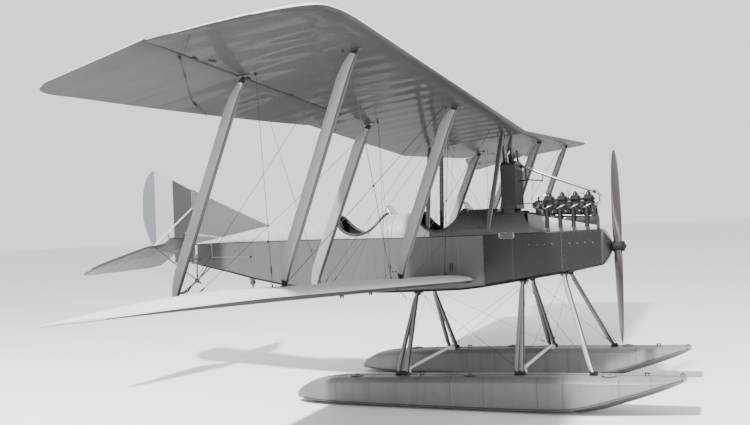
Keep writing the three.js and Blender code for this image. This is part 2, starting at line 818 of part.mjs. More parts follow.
function propeller() {
  const blade = (up) =>
    loft(
      BLADE.map(([r, wide, thick, pitch]) => {
        const ring = [];
        for (let j = 0; j < 12; j++) {
          const angle = (2 * Math.PI * j) / 12;
          const across = (Math.cos(angle) * wide) / 2;
          const deep = (Math.sin(angle) * thick) / 2;
          const t = rad(pitch);
          const y = across * Math.cos(t) - deep * Math.sin(t);
          const x = across * Math.sin(t) + deep * Math.cos(t);
          ring.push(at(SHAFT.x + x, up * y, SHAFT.z + up * r));
        }
        return ring;
      }),
    );
  const hub = bar(at(SHAFT.x - 0.055, 0, SHAFT.z), at(SHAFT.x + 0.075, 0, SHAFT.z), 0.17, 24);
  const cap = bar(at(SHAFT.x + 0.07, 0, SHAFT.z), at(SHAFT.x + 0.095, 0, SHAFT.z), 0.11, 24);
  return join(blade(1), blade(-1), hub, cap);
}

// Seats and windscreens
function seatShell(x) {
  const half = 0.23;
  const base = block(x - 0.2, x + 0.22, -half, half, -1.95, -1.91);
  const back = loft(
    [-half, half].map((y) => [
      at(x - 0.24, y, -1.46),
      at(x - 0.21, y, -1.46),
      at(x - 0.17, y, -1.95),
      at(x - 0.2, y, -1.95),
    ]),
  );
  const sides = [1, -1].map((side) => block(x - 0.19, x + 0.12, side * (half - 0.015), side * half, -1.94, -1.76));
  const legs = [];
  for (const dx of [-0.15, 0.17]) {
    for (const side of [1, -1]) {
      legs.push(block(x + dx - 0.015, x + dx + 0.015, side * 0.17, side * 0.2, FLOOR + GAP / UNIT, -1.94));
    }
  }
  return join(base, back, ...sides, ...legs);
}

function windscreen(x, deckSolid) {
  const pane = (dx) =>
    [
      [0.16, -1.24],
      [0.16, -1.06],
      [0.09, -0.985],
      [-0.09, -0.985],
      [-0.16, -1.06],
      [-0.16, -1.24],
    ].map(([y, z]) => at(x + dx - (z + 1.24) * 0.6, y, z));
  return seat(loft([pane(0), pane(0.012)]), deckSolid, 0, 0, 1);
}

// Wings and their struts
const upperRight = wingHalf(UPPER, UPPER_PLAN);
const upperLeft = mirror(upperRight);
const hullSolid = hullPart(HULL[0][0], 1.0);
const lowerRight = seat(wingHalf(LOWER, LOWER_PLAN), hullSolid, 0, -1, 0);
const lowerLeft = mirror(lowerRight);

function interplane(spar, y) {
  const setback = spar === SPAR_REAR ? REAR_FOOT_SETBACK : 0;
  const foot = onWing(LOWER, -y, spar + setback, 0.02);
  const head = onWing(UPPER, -y, spar, 0.012);
  const section = y === STRUT_INNER ? { wide: 0.152, thick: 0.05 } : { wide: 0.122, thick: 0.042 };
  const strut = rod(foot, head, section.wide, section.thick, 0.4, 12, 1);
  return seat(seat(strut, upperRight, 0, 0, -1), lowerRight, 0, 0, 1);
}

// Cabane struts: spar, foot on the longeron
const CABANE_TOP = 0.29;

function cabane(spar, footX) {
  const foot = at(footX, -hullAt(footX, "half") + 0.05, hullAt(footX, "longeron") - 0.0);
  const head = onWing(UPPER, -CABANE_TOP, spar, 0.012);
  const leg = rod(foot, head, 0.07, 0.034, 0.6, 10);
  const deck = footX < DECK_SPLIT ? turtleSolid : frontDeckSolid;
  return seat(seat(leg, upperRight, 0, 0, -1), deck, 0, 0, 1);
}

/** Two crossed stays of one bay with a small spacer where they cross. */
function crossedStays(y0, y1) {
  const a = onWing(LOWER, -y0, SPAR_FRONT + 0.1, 0.05);
  const b = onWing(UPPER, -y1, SPAR_FRONT + 0.1, 0.03);
  const c = onWing(UPPER, -y0, SPAR_FRONT + 0.1, 0.03);
  const d = onWing(LOWER, -y1, SPAR_FRONT + 0.1, 0.05);
  const first = b.clone().sub(a);
  const second = d.clone().sub(c);
  const normal = new THREE.Vector3().crossVectors(first, second);
  const between = c.clone().sub(a);
  const s = new THREE.Vector3().crossVectors(between, second).dot(normal) / normal.lengthSq();
  const middle = a.clone().addScaledVector(first, s);
  const spacer = new THREE.SphereGeometry(0.014 * UNIT, 10, 8).translate(middle.x, middle.y, middle.z);
  const crossed = join(bar(a, b, 0.007, 6), bar(c, d, 0.007, 6), spacer);
  return seat(seat(crossed, upperRight, 0, 0, -1), lowerRight, 0, 0, 1);
}

// Scene
const model = new THREE.Group();
const COLOURS = {
  fabric: { color: 0x9b9a93, roughness: 0.35, metalness: 0 },
  light: { color: 0xe6e3d8, roughness: 0.3, metalness: 0 },
  wing: { color: 0xc9c6ba, roughness: 0.25, metalness: 0 },
  dark: { color: 0x2b2b2b, roughness: 0.5, metalness: 0.1 },
  iron: { color: 0x343332, roughness: 0.6, metalness: 0.6 },
  alloy: { color: 0xc8c6c0, roughness: 0.4, metalness: 0.8 },
  strut: { color: 0xa4a29b, roughness: 0.35, metalness: 0 },
  float: { color: 0x8d8c86, roughness: 0.5, metalness: 0 },
  wood: { color: 0x6a4a2c, roughness: 0.35, metalness: 0 },
  glass: { color: 0xd8dcdc, roughness: 0.1, metalness: 0 },
  steel: { color: 0x77787a, roughness: 0.4, metalness: 0.9 },
};

function add(name, geometry, look) {
  const mesh = new THREE.Mesh(geometry, new THREE.MeshStandardMaterial(COLOURS[look]));
  mesh.name = name;
  model.add(mesh);
}

function addPair(name, geometry, look) {
  add(`${name}_right`, geometry, look);
  add(`${name}_left`, mirror(geometry), look);
}

add("hull", rearHull, "fabric");
add("turtle_deck", turtleDeck, "light");
add("cockpit_deck", frontDeck, "dark");
add("nose_cowl", noseCowl(), "dark");
add("crankcase", crankcase(), "alloy");
add("engine_bearer_left", bearer(1), "wood");
add("engine_bearer_right", bearer(-1), "wood");
add("cylinder_row", cylinderRow(), "iron");
add("rear_gear", rearGear(), "steel");
add("radiator", radiator(), "dark");
add("water_pipe", waterPipe(), "alloy");
add("upper_wing_right", upperRight, "wing");
add("upper_wing_left", upperLeft, "wing");
add("lower_wing_right", lowerRight, "wing");
add("lower_wing_left", lowerLeft, "wing");
for (const [place, spar] of [
  ["front", SPAR_FRONT],
  ["rear", SPAR_REAR],
]) {
  addPair(`strut_inner_${place}`, interplane(spar, STRUT_INNER), "strut");
  addPair(`strut_outer_${place}`, interplane(spar, STRUT_OUTER), "strut");
}
addPair("cabane_front", cabane(SPAR_FRONT, -0.53), "strut");
addPair("cabane_rear", cabane(SPAR_REAR, -1.44), "strut");
addPair("stays_inner", crossedStays(0.55, STRUT_INNER - 0.04), "steel");
addPair("stays_outer", crossedStays(STRUT_INNER + 0.04, STRUT_OUTER - 0.04), "steel");
addPair("aileron", seat(aileron(), upperRight, 0, -1, 0), "wing");
add("fin", finBody, "fabric");
add("rudder", rudder(), "fabric");
add("elevator", elevator(), "fabric");
addPair("tail_brace", tailBrace(), "steel");
add("tail_skid", skidBody, "steel");
add("float_right", floatBody(-1), "float");
add("float_left", floatBody(1), "float");
for (const row of FLOAT_STRUTS) {
  addPair(`float_strut_${row.name}`, floatStrut(row, -1, hullSolid, floatBody(-1)), "dark");
}
add("spreader_rear", spreader(-1.59), "light");
add("spreader_mid", spreader(0.04), "light");
add("propeller", propeller(), "wood");
add("seat_rear", seatShell(-2.5), "wood");
add("seat_front", seatShell(-1.25), "wood");
add("windscreen_rear", windscreen(-2.02, turtleSolid), "glass");
add("windscreen_front", windscreen(-0.8, frontDeckSolid), "glass");

export default model;
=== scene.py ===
# Two-seat training biplane on twin floats: finished skins, fittings and rigging over the frame
import math

import bmesh
import bpy
import numpy as np
from mathutils import Matrix, Vector


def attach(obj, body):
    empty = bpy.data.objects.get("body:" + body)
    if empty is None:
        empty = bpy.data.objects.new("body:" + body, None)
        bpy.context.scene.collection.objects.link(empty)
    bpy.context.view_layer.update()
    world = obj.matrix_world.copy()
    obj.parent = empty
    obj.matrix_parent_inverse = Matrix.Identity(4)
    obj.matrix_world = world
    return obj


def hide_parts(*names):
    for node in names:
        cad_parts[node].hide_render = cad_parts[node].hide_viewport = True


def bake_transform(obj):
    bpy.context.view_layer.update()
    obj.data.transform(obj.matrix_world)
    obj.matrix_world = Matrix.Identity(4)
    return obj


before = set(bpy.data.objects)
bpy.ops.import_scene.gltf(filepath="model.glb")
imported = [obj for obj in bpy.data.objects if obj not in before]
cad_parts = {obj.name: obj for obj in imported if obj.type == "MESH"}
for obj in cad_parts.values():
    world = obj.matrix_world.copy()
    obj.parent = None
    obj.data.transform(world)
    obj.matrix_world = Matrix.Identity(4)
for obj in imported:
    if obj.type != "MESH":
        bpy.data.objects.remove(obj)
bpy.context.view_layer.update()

rad = math.radians

# ------------------------ datum and driving sizes
# Stations are counted in units of UNIT metres from the middle of the upper leading edge
UNIT = 0.945
KEEL_DROP = 3.75
LENGTH_SHIFT = 2.21183
CHORD = 1.89
HINGE = 1.452
WING_FRONT_OF_HINGE = 1.412
SPAR_FRONT, SPAR_REAR = 0.276, 1.385
STRUT_INNER, STRUT_OUTER = 2.62, 5.563
AILERON_ROOT, AILERON_DROOP = 3.35, 6.5
RIB_PITCH = 0.33
HALF_SPAN, UPPER_TIP_START, LOWER_TIP_START, LOWER_ROOT = 6.915, 6.2, 6.264, 0.362
UPPER = dict(x=0.0, z=0.0, incidence=7.0, wash_in=0.0, dihedral=2.76, depth=1.0)
LOWER = dict(x=-0.774, z=-2.149, incidence=4.08, wash_in=0.294, dihedral=3.0, depth=1.16)
SHAFT_X, SHAFT_Z = 1.218, -1.704
RUDDER_HINGE = -5.785
ELEVATOR_X, ELEVATOR_Z, ELEVATOR_DROOP = -5.715, -1.465, 39.0
FLOAT_TRACK = 1.232
SIDES = ((-1, "right"), (1, "left"))


def at(x, y, z):
    """A station as a point in metres."""
    return np.array([x * UNIT + LENGTH_SHIFT, y * UNIT, (z + KEEL_DROP) * UNIT])


def fair(table, x, column=1):
    """A smooth curve through the rows of a table."""
    rows = np.asarray(table, float)
    xs, ys = rows[:, 0], rows[:, column]
    slope = np.empty(len(xs))
    slope[1:-1] = (ys[2:] - ys[:-2]) / (xs[2:] - xs[:-2])
    slope[0] = (ys[1] - ys[0]) / (xs[1] - xs[0])
    slope[-1] = (ys[-1] - ys[-2]) / (xs[-1] - xs[-2])
    x = np.clip(x, xs[0], xs[-1])
    i = np.clip(np.searchsorted(xs, x) - 1, 0, len(xs) - 2)
    h = xs[i + 1] - xs[i]
    t = (x - xs[i]) / h
    return float(
        (2 * t**3 - 3 * t**2 + 1) * ys[i]
        + (t**3 - 2 * t**2 + t) * h * slope[i]
        + (3 * t**2 - 2 * t**3) * ys[i + 1]
        + (t**3 - t**2) * h * slope[i + 1]
    )


def straight(table, x, column=1):
    """A value between the rows of a table."""
    rows = np.asarray(table, float)
    return float(np.interp(x, rows[:, 0], rows[:, column]))


# Wing section: share of the chord, height over the chord
TOP = [(0, 0.004), (0.012, 0.018), (0.05, 0.034), (0.15, 0.049), (0.32, 0.056), (0.5, 0.052),
    (0.73, 0.035), (0.88, 0.018), (1, 0.003)]
BOTTOM = [(0, 0.004), (0.012, -0.008), (0.06, -0.011), (0.2, -0.004), (0.5, 0.006), (0.8, 0.006),
    (1, 0.0)]
# Wing tips: station, leading offset, (lower wing: rear cut,) thickness
UPPER_TIP = [(6.2, 0, 1.0), (6.407, 0.012, 0.95), (6.56, 0.04, 0.82), (6.667, 0.09, 0.66),
    (6.76, 0.24, 0.46), (6.84, 0.52, 0.3), (6.89, 0.86, 0.2), (6.915, 1.16, 0.14)]
LOWER_TIP = [(6.264, 0, 0, 1), (6.47, 0.053, 0, 0.95), (6.635, 0.19, 0, 0.83), (6.765, 0.389, 0,
        0.66), (6.85, 0.604, 0.01, 0.47), (6.9, 0.828, 0.04, 0.28), (6.915, 1.1, 0.12, 0.14)]
# Aileron: station, chord, thickness
AILERON_PLAN = [(AILERON_ROOT + 0.02, 0.43, 1), (4.15, 0.63, 1), (4.85, 0.79, 1), (5.75, 0.975, 1),
    (6.45, 1.1, 0.92), (6.7, 1.145, 0.6), (6.84, 1.1, 0.3), (6.9, 0.98, 0.18)]
# Hull: station, half width, bottom, upper longeron, crown of the deck
HULL = [(-5.665, 0.035, -1.82, -1.462, -1.44), (-5.0, 0.115, -1.955, -1.457, -1.325),
    (-4.5, 0.175, -2.068, -1.457, -1.235), (-3.97, 0.232, -2.165, -1.457, -1.165),
    (-2.95, 0.335, -2.268, -1.46, -1.113), (-2.2, 0.388, -2.292, -1.472, -1.104), (-1.4, 0.402,
        -2.275, -1.478, -1.098), (-0.95, 0.398, -2.262, -1.478, -1.095), (-0.61, 0.388, -2.225,
        -1.476, -1.098), (-0.44, 0.38, -2.197, -1.474, -1.105), (0.0, 0.352, -2.132, -1.468, -1.13),
    (0.55, 0.3, -2.047, -1.46, -1.16), (1.0, 0.232, -1.957, -1.455, -1.2)]
HALF, FLOOR_LINE, LONGERON, CROWN = 1, 2, 3, 4
KEEL, CHINE, DECK = 2, 3, 4
REAR_COCKPIT = dict(x=-2.585, z=-1.03, a=0.41, b=0.38)
FRONT_COCKPIT = dict(x=-1.29, z=-1.04, a=0.34, b=0.36)
# Float: station, half width, keel, chine, deck
FLOAT = [(-3.2, 0.06, -3.69, -3.672, -3.63), (-3.16, 0.12, -3.702, -3.672, -3.578),
    (-3.05, 0.18, -3.718, -3.68, -3.505), (-2.9, 0.222, -3.732, -3.69, -3.44),
    (-2.7, 0.25, -3.742, -3.697, -3.398), (-2.4, 0.265, -3.75, -3.705, -3.37), (-1.0, 0.275, -3.75,
        -3.71, -3.325), (0.45, 0.275, -3.75, -3.7, -3.288), (0.75, 0.275, -3.745, -3.672, -3.283),
    (1.05, 0.273, -3.7, -3.6, -3.279), (1.3, 0.268, -3.622, -3.524, -3.276), (1.55, 0.262, -3.536,
        -3.447, -3.273), (1.8, 0.255, -3.443, -3.362, -3.27), (1.97, 0.247, -3.368, -3.306, -3.268),
    (2.055, 0.24, -3.322, -3.285, -3.267), (2.085, 0.23, -3.3, -3.283, -3.272)]
# Rudder outline: station, height
RUDDER = [(RUDDER_HINGE + 0.013, -0.535), (-6.13, -0.352), (-6.42, -0.2), (-6.502, -0.172),
    (-6.557, -0.183), (-6.645, -0.26), (-6.705, -0.371), (-6.745, -0.52), (-6.763, -0.68),
    (-6.766, -0.955), (-6.735, -1.1), (-6.701, -1.209), (-6.633, -1.39), (-6.42, -1.62),
    (-6.22, -1.745), (-6.07, -1.77), (RUDDER_HINGE + 0.013, -1.77)]
# Elevator: station, front edge, rear edge
ELEVATOR_PLAN = [(0.36, -0.185, 0.3), (0.46, -0.19, 0.5), (0.62, -0.19, 0.545),
    (0.89, -0.19, 0.552), (0.91, -0.1, 0.553), (0.93, -0.05, 0.554), (1, -0.03, 0.556),
    (1.1, -0.01, 0.56), (1.17, 0, 0.562), (1.3, 0, 0.565), (1.6, 0.13, 0.57), (1.85, 0.25, 0.575),
    (2.08, 0.37, 0.578), (2.19, 0.45, 0.58), (2.245, 0.52, 0.576)]
# Blade: radius, width, thickness, pitch in degrees
BLADE = [(0.0, 0.1, 0.095, 78), (0.12, 0.12, 0.09, 64), (0.25, 0.148, 0.066, 50), (0.45, 0.18,
        0.048, 38), (0.75, 0.2, 0.034, 30), (1.05, 0.2, 0.024, 23.5), (1.2, 0.17, 0.018, 20.5),
    (1.28, 0.12, 0.014, 19.5), (1.33, 0.072, 0.01, 19), (1.347, 0.03, 0.007, 19)]
CYLINDERS = (0.3, 0.483, 0.667, 0.85)

# ------------------------ camera, floor and light
YAW, PITCH, ROLL = rad(21.878), rad(0.93), rad(-2.399)
CAMERA_PLACE, LENS = (4.5159, -11.3952, 2.3315), 40.11
KEY_POWER, FILL_POWER, SKY_STRENGTH = 13500, 1000, 1.5
view = Vector((-math.sin(YAW) * math.cos(PITCH), math.cos(YAW) * math.cos(PITCH), math.sin(PITCH)))
level_right = view.cross(Vector((0, 0, 1))).normalized()
level_up = level_right.cross(view)
right = level_right * math.cos(ROLL) + level_up * math.sin(ROLL)
up = level_up * math.cos(ROLL) - level_right * math.sin(ROLL)
camera = bpy.data.objects.new("camera", bpy.data.cameras.new("camera"))
camera.data.lens = LENS
camera.data.sensor_width = 36.0
camera.data.clip_end = 500
camera.matrix_world = Matrix.Translation(CAMERA_PLACE) @ Matrix(
    ((right.x, up.x, -view.x), (right.y, up.y, -view.y), (right.z, up.z, -view.z))
).to_4x4()
bpy.context.scene.collection.objects.link(camera)
bpy.context.scene.camera = camera


def lamp(name, place, target, size, power):
    light = bpy.data.lights.new(name, "AREA")
    light.shape = "DISK"
    light.size, light.energy = size, power
    holder = bpy.data.objects.new(name, light)
    holder.location = place
    holder.rotation_mode = "QUATERNION"
    holder.rotation_quaternion = (Vector(target) - Vector(place)).to_track_quat("-Z", "Y")
    bpy.context.scene.collection.objects.link(holder)


lamp("key", (-0.4, -13.1, 17.1), (0, -1, 1.5), 1.4, KEY_POWER)
lamp("front_fill", (16.0, -7.0, 3.0), (1, -1, 1.0), 7.0, FILL_POWER)
world = bpy.data.worlds.new("studio")
world.use_nodes = True
world.node_tree.nodes["Background"].inputs["Color"].default_value = (0.93, 0.94, 0.95, 1)
world.node_tree.nodes["Background"].inputs["Strength"].default_value = SKY_STRENGTH
bpy.context.scene.world = world


# ------------------------ shared material effects
def effect_group(name, inputs, outputs):
    tree = bpy.data.node_groups.new(name, "ShaderNodeTree")
    for label, kind, value in inputs:
        socket = tree.interface.new_socket(label, in_out="INPUT", socket_type="NodeSocket" + kind)
        if kind == "Float":
            socket.default_value = value
    for label in outputs:
        tree.interface.new_socket(label, in_out="OUTPUT", socket_type="NodeSocketFloat")
    return tree, tree.nodes.new("NodeGroupInput"), tree.nodes.new("NodeGroupOutput")


def place_node(tree, kind, links=(), **settings):
    """A node with its settings, and its inputs set or linked by name or number."""
    node = tree.nodes.new(kind)
    for key, value in settings.items():
        setattr(node, key, value)
    for socket, value in dict(links).items():
        if isinstance(value, bpy.types.NodeSocket):
            tree.links.new(value, node.inputs[socket])
        else:
            node.inputs[socket].default_value = value
    return node


def sum_of(tree, operation, *values, clamp=False):
    node = place_node(tree, "ShaderNodeMath", dict(enumerate(values)), operation=operation)
    node.use_clamp = clamp
    return node.outputs[0]


def ramp(tree, value, low, high):
    """A smooth step from 0 at low to 1 at high."""
    return place_node(tree, "ShaderNodeMapRange", {"Value": value, "From Min": low,
            "From Max": high}, interpolation_type="SMOOTHSTEP").outputs["Result"]


def weave_effect():
    """Plain linen: crossed threads along all three axes."""
    tree, given, out = effect_group(
        "linen_weave", [("Place", "Vector", None), ("Threads", "Float", 700.0)], ["Height"])
    axes = place_node(tree, "ShaderNodeSeparateXYZ", {0: given.outputs["Place"]})
    waves = []
    for axis in range(3):
        turns = sum_of(tree, "MULTIPLY", axes.outputs[axis], given.outputs["Threads"])
        waves.append(sum_of(tree, "SINE", turns))
    total = sum_of(tree, "ADD", sum_of(tree, "ADD", waves[0], waves[1]), waves[2])
    tree.links.new(ramp(tree, total, -2.0, 2.0), out.inputs["Height"])
    return tree


def weather_effect():
    """Uneven tone from sun, spray and handling: broad patches, runs and fine specks."""
    tree, given, out = effect_group(
        "weather_tone",
        [("Place", "Vector", None), ("Patch", "Float", 1.3), ("Fine", "Float", 30.0)],
        ["Patches", "Specks", "Runs"])
    patches = place_node(tree, "ShaderNodeTexNoise", {
        "Vector": given.outputs["Place"], "Scale": given.outputs["Patch"], "Detail": 5.0,
        "Roughness": 0.6})
    specks = place_node(tree, "ShaderNodeTexNoise", {
        "Vector": given.outputs["Place"], "Scale": given.outputs["Fine"], "Detail": 3.0})
    drawn = place_node(tree, "ShaderNodeVectorMath",
        {0: given.outputs["Place"], 1: (9.0, 9.0, 0.7)}, operation="MULTIPLY")
    runs = place_node(tree, "ShaderNodeTexNoise", {
        "Vector": drawn.outputs[0], "Scale": 1.0, "Detail": 3.0})
    tree.links.new(ramp(tree, patches.outputs["Fac"], 0.3, 0.7), out.inputs["Patches"])
    tree.links.new(specks.outputs["Fac"], out.inputs["Specks"])
    tree.links.new(ramp(tree, runs.outputs["Fac"], 0.45, 0.75), out.inputs["Runs"])
    return tree


def chip_effect():
    """Small worn places where paint has gone."""
    tree, given, out = effect_group(
        "worn_places",
        [("Place", "Vector", None), ("Size", "Float", 9.0), ("Share", "Float", 0.3)], ["Mask"])
    noise = place_node(tree, "ShaderNodeTexNoise", {
        "Vector": given.outputs["Place"], "Scale": given.outputs["Size"], "Detail": 9.0,
        "Roughness": 0.72})
    edge = sum_of(tree, "SUBTRACT", 1.0, given.outputs["Share"])
    mask = sum_of(tree, "MULTIPLY", sum_of(tree, "SUBTRACT", noise.outputs["Fac"], edge), 14.0,
        clamp=True)
    tree.links.new(mask, out.inputs["Mask"])
    return tree


def rib_effect():
    """Tape and stitching over the ribs, from a UV map that counts ribs along U."""
    tree, given, out = effect_group("rib_tape", [("Map", "Vector", None), ("Width", "Float", 0.06),
            ("Stitches", "Float", 20.0)], ["Tape", "Stitch", "Valley"])
    uv = place_node(tree, "ShaderNodeSeparateXYZ", {0: given.outputs["Map"]})
    away = sum_of(tree, "PINGPONG", uv.outputs[0], 0.5)
    tape = sum_of(tree, "LESS_THAN", away, given.outputs["Width"])
    centre = sum_of(tree, "LESS_THAN", away, 0.012)
    beat = sum_of(tree, "PINGPONG",
        sum_of(tree, "MULTIPLY", uv.outputs[1], given.outputs["Stitches"]), 0.5)
    dots = sum_of(tree, "MULTIPLY", centre, sum_of(tree, "GREATER_THAN", beat, 0.25))
    tree.links.new(tape, out.inputs["Tape"])
    tree.links.new(dots, out.inputs["Stitch"])
    tree.links.new(ramp(tree, away, 0.0, 0.5), out.inputs["Valley"])
    return tree


def grain_effect():
    """Long grain of varnished wood."""
    tree, given, out = effect_group("wood_grain", [("Place", "Vector", None),
            ("Stretch", "Vector", None), ("Lines", "Float", 14.0)], ["Grain"])
    drawn = place_node(tree, "ShaderNodeVectorMath",
        {0: given.outputs["Place"], 1: given.outputs["Stretch"]}, operation="MULTIPLY")
    noise = place_node(tree, "ShaderNodeTexNoise", {
        "Vector": drawn.outputs[0], "Scale": given.outputs["Lines"], "Detail": 6.0,
        "Distortion": 0.6})
    tree.links.new(ramp(tree, noise.outputs["Fac"], 0.35, 0.65), out.inputs["Grain"])
    return tree


EFFECTS = dict(weave=weave_effect(), weather=weather_effect(), chips=chip_effect(),
    ribs=rib_effect(), grain=grain_effect())


def effect(tree, name, **inputs):
    """One of the shared effects, placed in a material with its own values."""
    return place_node(tree, "ShaderNodeGroup", inputs, node_tree=EFFECTS[name])


def tint(tree, share, a, b):
    """A colour between a and b."""
    node = place_node(tree, "ShaderNodeMix", {0: share}, data_type="RGBA")
    for socket, value in ((6, a), (7, b)):
        if isinstance(value, bpy.types.NodeSocket):
            tree.links.new(value, node.inputs[socket])
        else:
            node.inputs[socket].default_value = (*value, 1.0)
    return node.outputs[2]


def finish(name, base, shade, rough, *, patch=1.3, tone=0.5, specks=0.12, runs=0.0, metallic=0.0,
        coat=0.0, coat_rough=0.06, weave=0.0, worn=None, ribs=None, grain=None, dents=0.0,
        rough_spread=0.1, stripes=None, gloss=0.5, fade=None, glass=0.0):
    """A procedural finish. base and shade are its lighter and darker tones."""
    material = bpy.data.materials.new(name)
    material.use_nodes = True
    tree = material.node_tree
    shader = tree.nodes["Principled BSDF"]
    place = place_node(tree, "ShaderNodeTexCoord")
    spot = place.outputs["Object"]
    weather = effect(tree, "weather", Place=spot, Patch=patch)
    colour = tint(tree, sum_of(tree, "MULTIPLY", weather.outputs["Patches"], tone), base, shade)
    # Painted light and shade: the tone ramps along the craft towards a second tone
    if fade:
        start, full, paint = fade
        along = place_node(tree, "ShaderNodeSeparateXYZ", {0: spot}).outputs[0]
        colour = tint(tree, ramp(tree, along, start, full), colour, paint)
    if stripes:
        axis = place_node(tree, "ShaderNodeSeparateXYZ", {0: spot}).outputs[0]
        for edge, paint in stripes:
            colour = tint(tree, sum_of(tree, "LESS_THAN", axis, edge), colour, paint)
    dark = tuple(c * 0.55 for c in shade)
    colour = tint(tree, sum_of(tree, "MULTIPLY", weather.outputs["Specks"], specks), colour, dark)
    if runs:
        colour = tint(tree, sum_of(tree, "MULTIPLY", weather.outputs["Runs"], runs), colour, dark)
    height = sum_of(tree, "MULTIPLY", weather.outputs["Specks"], 0.15)
    if grain:
        stretch, lines, strength = grain
        wood = effect(tree, "grain", Place=spot, Stretch=stretch, Lines=lines)
        colour = tint(tree, sum_of(tree, "MULTIPLY", wood.outputs["Grain"], strength), colour,
            shade)
        height = sum_of(tree, "ADD", height, sum_of(tree, "MULTIPLY", wood.outputs["Grain"], 0.3))
    if ribs:
        width, tape_tone = ribs
        tape = effect(tree, "ribs", Map=place.outputs["UV"], Width=width)
        colour = tint(tree, sum_of(tree, "MULTIPLY", tape.outputs["Tape"], 0.35), colour, tape_tone)
        colour = tint(tree, sum_of(tree, "MULTIPLY", tape.outputs["Stitch"], 0.25), colour, dark)
        height = sum_of(tree, "ADD", height, sum_of(tree, "MULTIPLY", tape.outputs["Tape"], 0.7))
        height = sum_of(tree, "ADD", height, tape.outputs["Stitch"])
    if weave:
        cloth = effect(tree, "weave", Place=spot)
        height = sum_of(tree, "ADD", height,
            sum_of(tree, "MULTIPLY", cloth.outputs["Height"], weave))
    if dents:
        swell = place_node(tree, "ShaderNodeTexNoise",
            {"Vector": spot, "Scale": 3.0, "Detail": 1.0})
        height = sum_of(tree, "ADD", height, sum_of(tree, "MULTIPLY", swell.outputs["Fac"], dents))
    surface = sum_of(tree, "ADD", rough,
        sum_of(tree, "MULTIPLY", weather.outputs["Patches"], rough_spread), clamp=True)
    if worn:
        share, under, size = worn
        chips = effect(tree, "chips", Place=spot, Share=share, Size=size)
        colour = tint(tree, chips.outputs["Mask"], colour, under)
        surface = sum_of(tree, "ADD", surface, sum_of(tree, "MULTIPLY", chips.outputs["Mask"], 0.2))
    bump = place_node(tree, "ShaderNodeBump",
        {"Height": height, "Strength": 0.35, "Distance": 0.0016})
    tree.links.new(colour, shader.inputs["Base Color"])
    tree.links.new(surface, shader.inputs["Roughness"])
    tree.links.new(bump.outputs["Normal"], shader.inputs["Normal"])
    for socket, value in {"Metallic": metallic, "Specular IOR Level": gloss, "Coat Weight": coat,
            "Coat Roughness": coat_rough, "Transmission Weight": glass}.items():
        shader.inputs[socket].default_value = value
    return material


GREY_SCALE, WARMTH = 0.5, 0.012


def grey(level):
    """A faintly warm grey."""
    level *= GREY_SCALE
    return (level * (1 + WARMTH), level, level * (1 - 1.6 * WARMTH))


def tones(slot, *levels, **rest):
    """A finish: its slot (not used); lighter tone, darker tone and roughness; its other settings.
    """
    return slot, levels, rest


STRIPE_NEAR, STRIPE_FAR = -6.13 * UNIT + LENGTH_SHIFT, -6.5 * UNIT + LENGTH_SHIFT
# Painted shade at the hull's tail end and painted light at the float bows: start, full point and
# tone along the craft
TAIL_PAINTED_SHADE = (STRIPE_NEAR + 1.05, STRIPE_NEAR + 0.86, grey(0.025))
BOW_PAINTED_LIGHT = (2.5, 3.6, grey(0.42))
